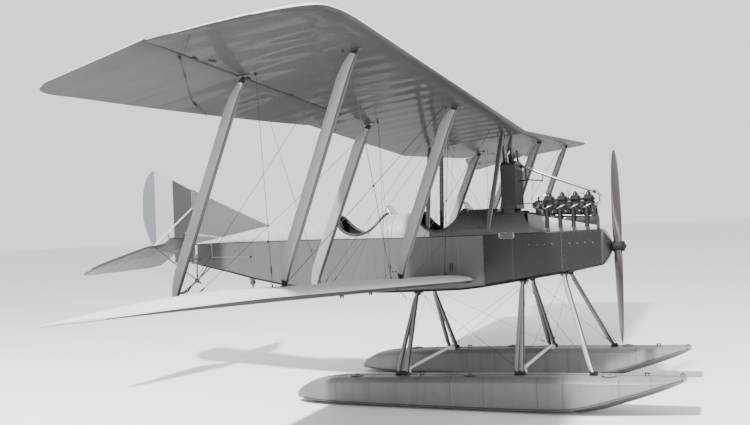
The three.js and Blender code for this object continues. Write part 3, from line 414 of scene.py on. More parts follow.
# Settings that the doped sides and tail share
DOPED = dict(coat=0.25, coat_rough=0.2, patch=0.8)
FINISHES = dict(
    wing_top=tones("wing_fabric", grey(0.92), grey(0.8), 0.62, gloss=0.08, weave=0.1,
        ribs=(0.05, grey(0.62)), specks=0.08, tone=0.6, rough_spread=0.1),
    # Painted shade: a dark grey for the wings' undersides, standing for the shade under them; the
    # cloth itself is the pale top cloth
    wing_under_painted_shade=tones(None, grey(0.074), grey(0.048), 0.5, coat=0.16, coat_rough=0.04, gloss=0.08,
        weave=0.1, ribs=(0.05, grey(0.1)), specks=0.08, tone=0.6, patch=0.7, rough_spread=0.05),
    deck_white=tones("fabric_white", grey(0.64), grey(0.5), 0.3, coat=0.4, coat_rough=0.12,
        weave=0.1, specks=0.08, runs=0.12),
    # Doped sides; painted shade darkens them towards the tail end
    side_grey=tones("fabric_grey", grey(0.138), grey(0.112), 0.38, weave=0.12, specks=0.12,
        runs=0.2, fade=TAIL_PAINTED_SHADE, **DOPED),
    tail_grey=tones("fabric_grey", grey(0.165), grey(0.13), 0.38, weave=0.12, specks=0.12, **DOPED),
    # Dark grey for the elevator's torque bar and horns, and painted shade on the band over its spar
    tail_dark_and_painted_shade=tones(None, grey(0.062), grey(0.045), 0.38, weave=0.12, specks=0.12, **DOPED),
    cowl_dark=tones("cowl_dark", grey(0.008), grey(0.005), 0.4, coat=0.45, coat_rough=0.16,
        gloss=0.25, specks=0.25, runs=0.15, dents=1.0, worn=(0.3, grey(0.025), 14.0)),
    deck_dark=tones("cowl_dark", grey(0.105), grey(0.075), 0.42, coat=0.2, coat_rough=0.25,
        specks=0.25, runs=0.15, worn=(0.3, grey(0.16), 14.0)),
    hub_dark=tones("steel", grey(0.024), grey(0.014), 0.6, gloss=0.2, specks=0.3, patch=16.0),
    bay_metal=tones("alloy", grey(0.5), grey(0.38), 0.5, metallic=0.5, specks=0.2, dents=0.4,
        patch=6.0),
    alloy=tones("alloy", grey(0.62), grey(0.4), 0.38, metallic=0.85, specks=0.2, dents=0.4,
        patch=6.0),
    iron=tones("iron", grey(0.05), grey(0.025), 0.55, metallic=0.6, specks=0.3, patch=9.0,
        worn=(0.34, (0.09, 0.065, 0.05), 22.0)),
    steel=tones("steel", grey(0.22), grey(0.1), 0.35, metallic=0.9, specks=0.3, patch=12.0),
    steel_dark=tones("steel", grey(0.05), grey(0.03), 0.45, metallic=0.6, specks=0.25, patch=12.0),
    cable=tones("steel", grey(0.16), grey(0.08), 0.4, metallic=0.85, specks=0.3, patch=30.0),
    strut_grey=tones("strut_paint", grey(0.48), grey(0.39), 0.3, coat=0.5, coat_rough=0.12,
        grain=((0.6, 6.0, 0.6), 9.0, 0.16), specks=0.1),
    strut_light=tones("strut_paint", grey(1.1), grey(0.9), 0.3, coat=0.5, coat_rough=0.12,
        specks=0.08),
    # Dark strut finish; on the struts' leading edges and on the cabanes it is also painted shade
    strut_dark_and_painted_shade=tones("strut_paint", grey(0.06), grey(0.04), 0.32, coat=0.4, coat_rough=0.15,
        specks=0.2, worn=(0.31, grey(0.2), 16.0)),
    # Float paint; painted light lightens it towards the bows
    float_grey=tones("float_paint", grey(0.3), grey(0.23), 0.42, coat=0.2, coat_rough=0.25,
        specks=0.15, runs=0.3, patch=0.9, dents=1.2, worn=(0.29, grey(0.5), 11.0), fade=BOW_PAINTED_LIGHT),
    radiator_black=tones("radiator_black", grey(0.055), grey(0.035), 0.5, gloss=0.25, specks=0.3,
        patch=8.0),
    pipe_bright=tones("copper_bright", (0.46, 0.44, 0.42), (0.27, 0.26, 0.24), 0.2, metallic=0.95,
        specks=0.2, patch=10.0),
    propeller_wood=tones("propeller_wood", (0.032, 0.025, 0.021), (0.014, 0.011, 0.009), 0.3,
        coat=0.4, coat_rough=0.1, grain=((7.0, 7.0, 0.7), 6.0, 0.7), specks=0.1),
    wood=tones("seat_wood", (0.3, 0.21, 0.14), (0.17, 0.11, 0.07), 0.35, coat=0.5, coat_rough=0.1,
        grain=((0.8, 8.0, 8.0), 8.0, 0.6)),
    rudder_paint=tones("rudder_paint", (0.011, 0.006, 0.0057), (0.008, 0.0045, 0.004), 0.32,
        coat=0.5, coat_rough=0.12, weave=0.12, specks=0.1, ribs=(0.04, grey(0.1)),
        stripes=((STRIPE_NEAR, grey(0.85)), (STRIPE_FAR, (0.14, 0.155, 0.18)))),
    leather=tones(None, grey(0.03), grey(0.015), 0.42, specks=0.4, patch=20.0, dents=0.5),
    # Tapes on the sides; painted shade darkens them towards the tail end
    side_tape=tones("fabric_grey", grey(0.147), grey(0.12), 0.36, weave=0.2, specks=0.1,
        fade=TAIL_PAINTED_SHADE, **DOPED),
    cowl_edge=tones("cowl_dark", grey(0.07), grey(0.045), 0.4, coat=0.2, coat_rough=0.25,
        specks=0.2),
    plate_metal=tones("alloy", grey(0.16), grey(0.12), 0.35, metallic=0.6, specks=0.2, patch=20.0),
    lace=tones(None, grey(0.14), grey(0.1), 0.6, specks=0.2, patch=30.0),
    cable_light=tones("steel", grey(0.6), grey(0.45), 0.35, metallic=0.5, specks=0.2, patch=30.0),
    alloy_bright=tones("alloy", grey(0.8), grey(0.6), 0.22, metallic=0.9, specks=0.12, patch=10.0),
    # Dark grey for float strakes and seams, and painted shade on the bottom of the bows
    float_dark_and_painted_shade=tones("float_paint", grey(0.06), grey(0.045), 0.45, coat=0.2, coat_rough=0.25,
        specks=0.2, patch=3.0),
    inside_dark=tones(None, (0.03, 0.024, 0.02), (0.018, 0.014, 0.012), 0.55, specks=0.2,
        patch=2.0),
    pane=tones("pane", grey(1.8), grey(1.7), 0.05, specks=0.03, rough_spread=0.03, glass=0.92),
    brass=tones("steel", (0.55, 0.42, 0.2), (0.3, 0.22, 0.1), 0.3, metallic=0.95, specks=0.2),
)
MATERIALS = {name: finish(name, *levels, **rest) for name, (_, levels, rest) in FINISHES.items()}
floor_finish = finish("floor_finish", (0.86, 0.86, 0.855), (0.83, 0.83, 0.825), 0.75, specks=0.02,
    tone=0.3)


# ------------------------ shapes from point rings
def circle(count):
    """Angles once round a circle."""
    return np.linspace(0, 2 * math.pi, count, endpoint=False)


def skin(rings, caps=(True, True)):
    """Points and faces of a skin over rings of equally many points."""
    rings = np.asarray(rings, float)
    rows, columns, _ = rings.shape
    faces = []
    for i in range(rows - 1):
        for j in range(columns):
            k = (j + 1) % columns
            faces.append((i * columns + j, i * columns + k, (i + 1) * columns + k,
                    (i + 1) * columns + j))
    if caps[0]:
        faces.append(tuple(range(columns))[::-1])
    if caps[1]:
        faces.append(tuple((rows - 1) * columns + j for j in range(columns)))
    return rings.reshape(-1, 3), turned_out(rings.reshape(-1, 3), faces)


def turned_out(points, faces):
    """Faces in the order that points them away from the middle."""
    p = points - points.mean(0)
    volume = 0.0
    for face in faces:
        a = p[face[0]]
        for b, c in zip(face[1:], face[2:]):
            volume += a @ np.cross(p[b], p[c])
    return faces if volume > 0 else [face[::-1] for face in faces]


def several(shapes):
    """Many shapes as one set of points and faces."""
    points, faces, base = [], [], 0
    for p, f in shapes:
        points.append(np.asarray(p, float))
        faces += [tuple(i + base for i in face) for face in f]
        base += len(p)
    return np.concatenate(points), faces


ACROSS = (1, -1, 1)


def mirrored(shape):
    p, f = shape
    return p * ACROSS, [face[::-1] for face in f]


def both_sides(shape):
    return several([shape, mirrored(shape)])


def flip(point):
    return np.asarray(point) * ACROSS


def both_lines(lines):
    """Lines and their mirror images."""
    return [*lines, *([flip(p) for p in line] for line in lines)]


def both_spots(spots):
    """Places of small parts and their mirror images."""
    return spots + [(flip(p), flip(d), size) for p, d, size in spots]


HANDS = (("right", lambda shape: shape), ("left", mirrored))


def frame_of(direction, hint=(1, 0, 0)):
    """Two unit vectors square to a direction; the second is the one nearest to the hint."""
    along = np.asarray(direction, float)
    along = along / np.linalg.norm(along)
    side = np.cross(along, hint)
    if np.linalg.norm(side) < 0.1:
        side = np.cross(along, (0, 1, 0.3))
    side /= np.linalg.norm(side)
    return along, side, np.cross(side, along)


def tube(path, radius, sides=12, closed=False):
    """A round bar along a path; radius is one number or one for each point."""
    path = np.asarray(path, float)
    radii = np.broadcast_to(radius, len(path))
    rings = []
    _, side, fore = frame_of(path[1] - path[0])
    for i, p in enumerate(path):
        before, after = path[max(i - 1, 0)], path[min(i + 1, len(path) - 1)]
        if closed:
            before, after = path[i - 1], path[(i + 1) % len(path)]
        along = (after - before) / np.linalg.norm(after - before)
        side = side - along * (side @ along)
        side /= np.linalg.norm(side)
        fore = np.cross(along, side)
        turn = circle(sides)[:, None]
        rings.append(p + radii[i] * (np.cos(turn) * side + np.sin(turn) * fore))
    if closed:
        rings.append(rings[0])
        return skin(rings, caps=(False, False))
    return skin(rings)


def turned(a, b, profile, sides=24):
    """A turned part on the line from a to b; profile rows are share of the length and radius."""
    a, b = np.asarray(a, float), np.asarray(b, float)
    _, side, fore = frame_of(b - a)
    turn = circle(sides)[:, None]
    return skin([a + (b - a) * t + r * (np.cos(turn) * side + np.sin(turn) * fore)
            for t, r in profile])


def slab(lo, hi, bevel=0.004):
    """A block with eased edges, as rings from its lower to its upper face."""
    lo, hi = np.minimum(lo, hi), np.maximum(lo, hi)
    e = min(bevel, *(0.3 * (hi - lo)))
    rings = []
    for z, inset in ((lo[2], e), (lo[2] + e, 0), (hi[2] - e, 0), (hi[2], e)):
        x0, y0, x1, y1 = lo[0] + inset, lo[1] + inset, hi[0] - inset, hi[1] - inset
        rings.append([(x0 + e, y0, z), (x1 - e, y0, z), (x1, y0 + e, z), (x1, y1 - e, z),
                (x1 - e, y1, z), (x0 + e, y1, z), (x0, y1 - e, z), (x0, y0 + e, z)])
    return skin(rings)


def block(x0, x1, y0, y1, z0, z1, bevel=0.004):
    return slab(at(x0, y0, z0), at(x1, y1, z1), bevel)


def make_piece(name, shape, material, body="airframe", instead_of=(), sharp=38, uv=None,
        second=None):
    """An object from points and faces, riding on a body and standing for its solids."""
    points, faces = shape
    mesh = bpy.data.meshes.new(name)
    mesh.from_pydata(points.tolist(), [], faces)
    mesh.update()
    mesh.shade_smooth()
    mesh.set_sharp_from_angle(angle=rad(sharp))
    mesh.materials.append(MATERIALS[material])
    if uv is not None:
        layer = mesh.uv_layers.new(name="ribs")
        corners = np.empty(len(mesh.loops), dtype=np.int32)
        mesh.loops.foreach_get("vertex_index", corners)
        layer.data.foreach_set("uv", np.asarray(uv, np.float32)[corners].ravel())
    if second is not None:
        mesh.materials.append(MATERIALS[second[0]])
        mesh.polygons.foreach_set("material_index", np.asarray(second[1], np.int32))
    obj = bpy.data.objects.new(name, mesh)
    bpy.context.scene.collection.objects.link(obj)
    return settle(obj, body, instead_of)


def settle(obj, body="airframe", instead_of=()):
    if body:
        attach(obj, body)
    if instead_of:
        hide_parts(*instead_of)
    return obj


EDGE_ANGLE = 32
# Where the hull and decks show their dark inner faces
INSIDE_REAR, INSIDE_FRONT, INSIDE_FLOOR, INSIDE_ROOF = -3.04, -0.74, -2.1, -1.47


def refined(node, material, bevel, body="airframe", inside=False):
    """A solid of the frame with eased edges and smooth shading, in its own finish."""
    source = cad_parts[node]
    mesh = source.data.copy()
    work = bmesh.new()
    work.from_mesh(mesh)
    bmesh.ops.remove_doubles(work, verts=work.verts, dist=2e-5)
    bmesh.ops.dissolve_limit(work, angle_limit=rad(1.0), verts=work.verts, edges=work.edges)
    work.to_mesh(mesh)
    work.free()
    mesh.materials.clear()
    mesh.materials.append(MATERIALS[material])
    if inside:
        mesh.materials.append(MATERIALS["inside_dark"])
        for face in mesh.polygons:
            y, normal = face.center.y, face.normal
            x = (face.center.x - LENGTH_SHIFT) / UNIT
            inner = INSIDE_REAR < x < INSIDE_FRONT and (normal.y * y < -0.02 or abs(normal.x) > 0.9
                or (normal.z > 0.5 and face.center.z < at(0, 0, INSIDE_FLOOR)[2])
                or (normal.z < -0.3 and face.center.z > at(0, 0, INSIDE_ROOF)[2]))
            face.material_index = 1 if inner else 0
    mesh.shade_smooth()
    mesh.set_sharp_from_angle(angle=rad(EDGE_ANGLE))
    obj = bpy.data.objects.new(node + "_finished", mesh)
    bpy.context.scene.collection.objects.link(obj)
    if bevel:
        ease = obj.modifiers.new("eased_edges", "BEVEL")
        ease.width, ease.segments, ease.limit_method = bevel, 2, "ANGLE"
        ease.angle_limit = rad(EDGE_ANGLE)
        ease.harden_normals = False
    return settle(obj, body, (node,))


# ------------------------ geometry node trees
def node_tree_with(name, inputs):
    tree = bpy.data.node_groups.new(name, "GeometryNodeTree")
    tree.interface.new_socket("Geometry", in_out="INPUT", socket_type="NodeSocketGeometry")
    for label, kind in inputs:
        tree.interface.new_socket(label, in_out="INPUT", socket_type="NodeSocket" + kind)
    tree.interface.new_socket("Geometry", in_out="OUTPUT", socket_type="NodeSocketGeometry")
    return tree, tree.nodes.new("NodeGroupInput"), tree.nodes.new("NodeGroupOutput")


def section_tree():
    """Sweeps an oval section along every path."""
    tree, given, out = node_tree_with("section_along_paths", [
        ("Width", "Float"), ("Height", "Float"), ("Sides", "Int"), ("Finish", "Material")])
    ring = place_node(tree, "GeometryNodeCurvePrimitiveCircle",
        {"Resolution": given.outputs["Sides"], "Radius": 0.5})
    size = place_node(tree, "ShaderNodeCombineXYZ", {
        0: given.outputs["Width"], 1: given.outputs["Height"], 2: 1.0})
    oval = place_node(tree, "GeometryNodeTransform", {
        "Geometry": ring.outputs["Curve"], "Scale": size.outputs[0]})
    swept = place_node(tree, "GeometryNodeCurveToMesh", {
        "Curve": given.outputs["Geometry"], "Profile Curve": oval.outputs[0], "Fill Caps": True})
    whole = place_node(tree, "GeometryNodeRealizeInstances", {"Geometry": swept.outputs[0]})
    dressed = place_node(tree, "GeometryNodeSetMaterial", {
        "Geometry": whole.outputs[0], "Material": given.outputs["Finish"]})
    tree.links.new(dressed.outputs[0], out.inputs[0])
    return tree


def copies_tree():
    """Puts a small part on every point, turned and sized by the point's attributes."""
    tree, given, out = node_tree_with("parts_on_points", [
        ("Part", "Object"), ("Size", "Float"), ("Finish", "Material")])
    part = place_node(tree, "GeometryNodeObjectInfo", {"Object": given.outputs["Part"]})
    turn = place_node(tree, "GeometryNodeInputNamedAttribute", {"Name": "turn"},
        data_type="FLOAT_VECTOR")
    euler = place_node(tree, "FunctionNodeEulerToRotation", {0: turn.outputs[0]})
    own = place_node(tree, "GeometryNodeInputNamedAttribute", {"Name": "size"}, data_type="FLOAT")
    scale = sum_of(tree, "MULTIPLY", own.outputs[0], given.outputs["Size"])
    placed = place_node(tree, "GeometryNodeInstanceOnPoints", {
        "Points": given.outputs["Geometry"], "Instance": part.outputs["Geometry"],
        "Rotation": euler.outputs[0], "Scale": scale})
    whole = place_node(tree, "GeometryNodeRealizeInstances", {"Geometry": placed.outputs[0]})
    dressed = place_node(tree, "GeometryNodeSetMaterial", {
        "Geometry": whole.outputs[0], "Material": given.outputs["Finish"]})
    tree.links.new(dressed.outputs[0], out.inputs[0])
    return tree


SECTION_TREE, COPIES_TREE = section_tree(), copies_tree()
SWEPT_ANGLE = 40


def from_tree(name, source, tree, values, body):
    """Runs a tree on a source object and keeps only its result as a plain mesh."""
    modifier = source.modifiers.new("made", "NODES")
    modifier.node_group = tree
    for socket in tree.interface.items_tree:
        if socket.in_out == "INPUT" and socket.name in values:
            modifier[socket.identifier] = values[socket.name]
    graph = bpy.context.evaluated_depsgraph_get()
    mesh = bpy.data.meshes.new_from_object(source.evaluated_get(graph))
    mesh.name = name
    bpy.data.objects.remove(source)
    mesh.shade_smooth()
    mesh.set_sharp_from_angle(angle=rad(SWEPT_ANGLE))
    obj = bpy.data.objects.new(name, mesh)
    bpy.context.scene.collection.objects.link(obj)
    return settle(obj, body)


def swept(name, paths, width, height, material, body="airframe", slot=None, sides=8):
    """Strips, beads, cables or pipes along paths."""
    curve = bpy.data.curves.new(name, "CURVE")
    curve.dimensions = "3D"
    for path in paths:
        spline = curve.splines.new("POLY")
        spline.points.add(len(path) - 1)
        spline.points.foreach_set("co", np.c_[np.asarray(path, float), np.ones(len(path))].ravel())
    source = bpy.data.objects.new(name + "_path", curve)
    bpy.context.scene.collection.objects.link(source)
    return from_tree(name, source, SECTION_TREE, {
        "Width": width, "Height": height, "Sides": sides, "Finish": MATERIALS[material]},
        body)


def copies(name, places, part, size, material, body="airframe"):
    """places rows: point, direction the part's own Z points to, own size."""
    mesh = bpy.data.meshes.new(name + "_points")
    mesh.from_pydata([tuple(p) for p, _, _ in places], [], [])
    turn = mesh.attributes.new("turn", "FLOAT_VECTOR", "POINT")
    turn.data.foreach_set("vector", np.array([tuple(Vector(d).to_track_quat("Z", "Y").to_euler())
                for _, d, _ in places], np.float32).ravel())
    own = mesh.attributes.new("size", "FLOAT", "POINT")
    own.data.foreach_set("value", np.array([s for _, _, s in places], np.float32))
    source = bpy.data.objects.new(name + "_source", mesh)
    shape = bpy.data.meshes.new(name + "_part")
    shape.from_pydata(np.asarray(part[0]).tolist(), [], part[1])
    sample = bpy.data.objects.new(name + "_sample", shape)
    for obj in (source, sample):
        bpy.context.scene.collection.objects.link(obj)
    made = from_tree(name, source, COPIES_TREE, {
        "Part": sample, "Size": size, "Finish": MATERIALS[material]}, body)
    bpy.data.objects.remove(sample)
    return made


SCREW = turned((0, 0, -0.2), (0, 0, 0.5), [(0, 0.5), (0.55, 0.5), (0.9, 0.34), (1, 0.12)], 8)
NUT = turned((0, 0, -0.3), (0, 0, 0.6), [(0, 0.5), (0.85, 0.5), (1, 0.42)], 6)


# ------------------------ wings
def on_wing(wing, y, s, h):
    """A point of a wing: s aft along the chord, h above the chord line."""
    a = rad(wing["incidence"] + wing["wash_in"] * abs(y))
    return at(wing["x"] - s * math.cos(a) - h * math.sin(a), y,
        wing["z"] + abs(y) * math.tan(rad(wing["dihedral"])) - s * math.sin(a) + h * math.cos(a))


TOP_SHARES = [(i / 22) ** 1.8 for i in range(22, -1, -1)]
BOTTOM_SHARES = [(i / 18) ** 1.7 for i in range(19)][1:]
SAG = 0.0052


def rib_sag(y, f):
    """How far the cloth sinks between ribs at a share of the chord."""
    between = math.sin(math.pi * ((y / RIB_PITCH) % 1.0)) ** 2
    return SAG * between * min(1.0, max(0.0, (f - 0.04) / 0.12)) * (1 - 0.75 * f)


def wing_ring(wing, y, lead, rear, thickness, sign):
    chord = CHORD - lead
    end = (rear - lead) / chord
    ring, marks = [], []
    depth = CHORD * wing["depth"] * thickness
    for share in TOP_SHARES:
        f = share * end
        h = fair(TOP, f) * depth - rib_sag(y, f) * thickness
        ring.append(on_wing(wing, sign * y, lead + f * chord, h))
        marks.append((y / RIB_PITCH, f))
    for share in BOTTOM_SHARES:
        f = share * end
        h = fair(BOTTOM, f) * depth + 0.8 * rib_sag(y, f) * thickness
        ring.append(on_wing(wing, sign * y, lead + f * chord, h))
        marks.append((y / RIB_PITCH, -f))
    return ring, marks


def wing_stations(start, end, tip_start):
    fine = list(np.arange(start, tip_start, RIB_PITCH / 8))
    tip = [tip_start + (end - tip_start) * math.sin(t) for t in np.linspace(0, math.pi / 2, 22)]
    return fine + tip


def face_normal(points, face):
    a, b, c, d = (points[face[k % len(face)]]
        for k in (0, len(face) // 4, len(face) // 2, 3 * len(face) // 4))
    normal = np.cross(c - a, d - b)
    return normal / (np.linalg.norm(normal) + 1e-12)


def wing_half(name, wing, sign, spans, node):
    """spans rows: y, lead, rear, thickness."""
    rings, marks = zip(*[wing_ring(wing, *row, sign) for row in spans])
    points, faces = skin(rings)
    columns = len(rings[0])
    # Faces of the lower skin take the underside's painted shade
    under = []
    for face in faces:
        column = sorted(i % columns for i in face)
        under.append(1 if len(face) == 4 and min(column) >= len(TOP_SHARES) - 1 else 0)
    # On the upper wing every face tilted less than about 20 degrees towards the sky, the tip edge
    # included, takes the painted shade
    if wing is UPPER:
        under = [1 if face_normal(points, face)[2] < 0.35 else 0 for face in faces]
    return make_piece(name, (points, faces), "wing_top", instead_of=(node,),
        uv=np.concatenate([np.array(m) for m in marks]), second=("wing_under_painted_shade", under))


def upper_rows():
    rows = []
    for y in [0.001, *wing_stations(0.02, HALF_SPAN, UPPER_TIP_START)]:
        if y <= AILERON_ROOT:
            rows.append((y, 0.0, CHORD, 1.0))
        elif y < UPPER_TIP_START:
            rows.append((y, 0.0, WING_FRONT_OF_HINGE, 1.0))
        else:
            rows.append((y, fair(UPPER_TIP, y, 1), WING_FRONT_OF_HINGE, fair(UPPER_TIP, y, 2)))
    cut = max(i for i, row in enumerate(rows) if row[0] <= AILERON_ROOT)
    rows[cut + 1:cut + 1] = [(AILERON_ROOT, 0.0, CHORD, 1.0),
        (AILERON_ROOT + 0.0006, 0.0, WING_FRONT_OF_HINGE, 1.0)]
    return rows


def lower_rows():
    rows = []
    for y in wing_stations(LOWER_ROOT, HALF_SPAN, LOWER_TIP_START):
        if y < LOWER_TIP_START:
            rows.append((y, 0.0, CHORD, 1.0))
        else:
            rows.append((y, fair(LOWER_TIP, y, 1), CHORD - fair(LOWER_TIP, y, 2),
                    fair(LOWER_TIP, y, 3)))
    return rows


for sign, side in SIDES:
    wing_half(f"upper_wing_{side}_skin", UPPER, sign, upper_rows(), f"upper_wing_{side}")
    wing_half(f"lower_wing_{side}_skin", LOWER, sign, lower_rows(), f"lower_wing_{side}")


def on_aileron(y, s, h):
    a = rad(AILERON_DROOP)
    share = HINGE / CHORD
    middle = (straight(TOP, share) + straight(BOTTOM, share)) * CHORD / 2
    return on_wing(UPPER, y, HINGE + s * math.cos(a) + h * math.sin(a),
        middle - s * math.sin(a) + h * math.cos(a))


def aileron_skin(sign, side):
    share = HINGE / CHORD
    half = (straight(TOP, share) - straight(BOTTOM, share)) * CHORD / 2
    rings, marks = [], []
    root, tip = AILERON_ROOT + 0.02, 6.9
    for y in [*np.arange(root, 6.4, RIB_PITCH / 8), *np.linspace(6.4, tip, 18)]:
        chord = fair(AILERON_PLAN, y, 1)
        h = half * fair(AILERON_PLAN, y, 2)
        sag = 0.6 * SAG * math.sin(math.pi * ((y / RIB_PITCH) % 1.0)) ** 2
        ring, mark = [], []
        for angle in np.linspace(90, 270, 13):
            ring.append(on_aileron(sign * y, h * math.cos(rad(angle)), h * math.sin(rad(angle))))
            mark.append((y / RIB_PITCH, 0))
        for t in np.linspace(0, 1, 9)[1:]:
            ring.append(on_aileron(sign * y, chord * t,
                    -h * (1 - t) ** 1.1 - 0.002 + sag * math.sin(math.pi * t)))
            mark.append((y / RIB_PITCH, -t))
        for t in np.linspace(1, 0, 9)[:-1]:
            ring.append(on_aileron(sign * y, chord * t,
                    h * (1 - t) ** 1.05 + 0.002 - sag * math.sin(math.pi * t)))
            mark.append((y / RIB_PITCH, t))
        rings.append(ring)
        marks += mark
    points, faces = skin(rings)
    columns = len(rings[0])
    # Faces of the aileron's lower skin take the underside's painted shade
    under = [1 if len(f) == 4 and 6 <= min(i % columns for i in f)
        and max(i % columns for i in f) <= 20 else 0 for f in faces]
    make_piece(f"aileron_{side}_skin", (points, faces), "wing_top", body=f"aileron_{side}",
        instead_of=(f"aileron_{side}",), uv=np.array(marks), second=("wing_under_painted_shade", under))


for sign, side in SIDES:
    aileron_skin(sign, side)


# ------------------------ struts
STRUT_SIDES, STRUT_ROWS, TAPER = 28, 26, 0.14


def strut_shape(foot, head, wide, thick, waist, swell=1.0, ends=None):
    """A streamlined strut whose body swells aft of a straight leading edge."""
    foot, head = np.asarray(foot, float), np.asarray(head, float)
    along, across, fore = frame_of(head - foot, (1, 0, 0))
    rings = []
    shares = 0.5 - 0.5 * np.cos(np.linspace(0, math.pi, STRUT_ROWS))
    if ends is not None:
        shares = np.linspace(ends[0], ends[1], 6)
    for t in shares:
        share = waist + (1 - waist) * math.sin(min(1.0, min(t, 1 - t) / TAPER) * math.pi / 2) ** 0.9
        centre = foot + (head - foot) * t - fore * swell * (share - waist) * wide * UNIT / 2
        ring = []
        for j in range(STRUT_SIDES):
            turn = 2 * math.pi * j / STRUT_SIDES
            x = math.cos(turn)
            y = math.sin(turn) * (1 - 0.28 * (0.5 - 0.5 * x))
            scale = share * UNIT / 2 * (1.04 if ends is not None else 1.0)
            ring.append(centre + fore * x * wide * scale + across * y * thick * scale)
        rings.append(ring)
    return skin(rings)


def interplane_ends(spar, y):
    setback = 0.055 if spar == SPAR_REAR else 0.0
    foot = spar + setback
    return on_wing(LOWER, -y, foot,
        fair(TOP, foot / CHORD) * CHORD * LOWER["depth"] - 0.012), on_wing(UPPER, -y, spar, -0.004)


def front_painted_shade(shape, share=0.45):
    """Marks the faces of a strut's leading edge that take painted shade, dark as if turned from the
    light.
    """
    return [int(len(f) == 4 and math.cos(2 * math.pi * sorted(i % STRUT_SIDES
                    for i in f)[1] / STRUT_SIDES) > share) for f in shape[1]]


for place, spar in (("front", SPAR_FRONT), ("rear", SPAR_REAR)):
    for bay, y, wide, thick in (("inner", STRUT_INNER, 0.152, 0.05),
            ("outer", STRUT_OUTER, 0.122, 0.042)):
        foot, head = interplane_ends(spar, y)
        body = strut_shape(foot, head, wide, thick, 0.32)
        shoes = several([strut_shape(foot, head, wide, thick, 0.32, ends=(0.0, 0.03)),
                strut_shape(foot, head, wide, thick, 0.32, ends=(0.975, 1.0))])
        # The leading edge of each strut takes painted shade
        shaded_front_faces = front_painted_shade(body)
        for side, turn in HANDS:
            make_piece(f"strut_{bay}_{place}_{side}_body", turn(body), "strut_grey",
                instead_of=(f"strut_{bay}_{place}_{side}",), second=("strut_dark_and_painted_shade", shaded_front_faces))
            make_piece(f"strut_{bay}_{place}_{side}_shoes", turn(shoes), "steel_dark")


def hull_at(x, column):
    return straight(HULL, x, column)


for place, spar, foot_x, inset, rise in (("front", SPAR_FRONT, -0.545, 0.016, 0.0),
        ("rear", SPAR_REAR, -1.44, 0.05, 0.06)):
    foot = at(foot_x, -hull_at(foot_x, HALF) + inset, hull_at(foot_x, LONGERON) + rise)
    head = on_wing(UPPER, -0.29, spar, 0.004)
    body = strut_shape(foot, head, 0.07, 0.034, 0.6, swell=0.0)
    # Cabane struts in the dark strut finish, which here also stands for the upper wing's shadow as
    # painted shade
    for side, turn in HANDS:
        make_piece(f"cabane_{place}_{side}_body", turn(body), "strut_dark_and_painted_shade",
            instead_of=(f"cabane_{place}_{side}",))

# ------------------------ floats
BOW_START = 0.72
FLOAT_STATIONS = [*np.linspace(-3.2, -2.7, 22), *np.linspace(-2.6, 0.5, 32),
    *np.linspace(0.6, 2.085, 44)]


def float_top(x, share=0.0):
    """Height of the rounded deck at a share of the half width."""
    half, chine, deck = (fair(FLOAT, x, c) for c in (HALF, CHINE, DECK))
    camber = min(0.062 * half / 0.275, 0.4 * (deck - chine))
    return deck - camber * abs(share) ** 5


def float_ring(x, centre):
    half, keel, chine = (fair(FLOAT, x, c) for c in (HALF, KEEL, CHINE))
    keel, low = max(keel, -KEEL_DROP), float_top(x, 1)
    step = min(0.012, 0.3 * (low - chine))
    side = [(min(0.045, half * 0.6), keel), (half * 0.5 + 0.01, keel + (chine - keel) * 0.46),
        (half - 0.006, chine - step * 0.2), (half, chine + step), (half, (chine + low) / 2),
        (half, low - step)]
    side += [(half * share, float_top(x, share))
        for share in (0.992, 0.97, 0.93, 0.86, 0.75, 0.6, 0.4, 0.2, 0)]
    ring = [at(x, centre + y, z) for y, z in side]
    ring += [at(x, centre - y, z) for y, z in side[-2::-1]]
    return ring


for sign, side in SIDES:
    shape = skin([float_ring(x, sign * FLOAT_TRACK) for x in FLOAT_STATIONS])
    bow = at(BOW_START, 0, 0)[0]
    chines = {round(float(at(x, 0, 0)[0]), 4): float(at(0, 0, fair(FLOAT, x, CHINE))[2])
        for x in FLOAT_STATIONS}
    # The bottom of each bow, below the chine, takes painted shade
    bow_painted_shade = []
    for face in shape[1]:
        corners = [shape[0][i] for i in face]
        bow_painted_shade.append(int(len(face) == 4 and all(p[0] > bow
                    and p[2] < chines[round(float(p[0]), 4)] + 0.001 for p in corners)))
    make_piece(f"float_{side}_shell", shape, "float_grey", instead_of=(f"float_{side}",), sharp=30,
        second=("float_dark_and_painted_shade", bow_painted_shade))


FLOAT_STRUTS = [("rear", (-1.66, -1.53), (-1.62, 0.385), 0.068),
    ("mid", (0.0, 0.075), (-0.06, 0.335), 0.068), ("front", (0.976,), (0.507, 0.285), 0.07)]
for place, feet, top, wide in FLOAT_STRUTS:
    head = at(top[0], -top[1], hull_at(top[0], FLOOR_LINE) - 0.004)
    legs = [strut_shape(at(x, -FLOAT_TRACK, float_top(x) + 0.004), head, wide, 0.034, 0.6)
        for x in feet]
    # The leading edge of each float leg takes painted shade
    shaded_front_faces = [mark for leg in legs for mark in front_painted_shade(leg, share=0.3)]
    for side, turn in HANDS:
        make_piece(f"float_strut_{place}_{side}_legs", turn(several(legs)), "strut_grey",
            instead_of=(f"float_strut_{place}_{side}",), second=("strut_dark_and_painted_shade", shaded_front_faces))
for name, x in (("spreader_rear", -1.59), ("spreader_mid", 0.04)):
    z = float_top(x) + 0.045
    beam = turned(at(x, -1.12, z), at(x, 1.12, z),
        [(0, 0.012), (0.006, 0.02), (0.03, 0.0208), (0.97, 0.0208), (0.994, 0.02), (1, 0.012)], 24)
    pads = [block(x - 0.05, x + 0.05, s * 1.12, s * 1.04, float_top(x) - 0.012, z) for s in (1, -1)]
    make_piece(name + "_bar", several([beam, *pads]), "strut_light", instead_of=(name,))

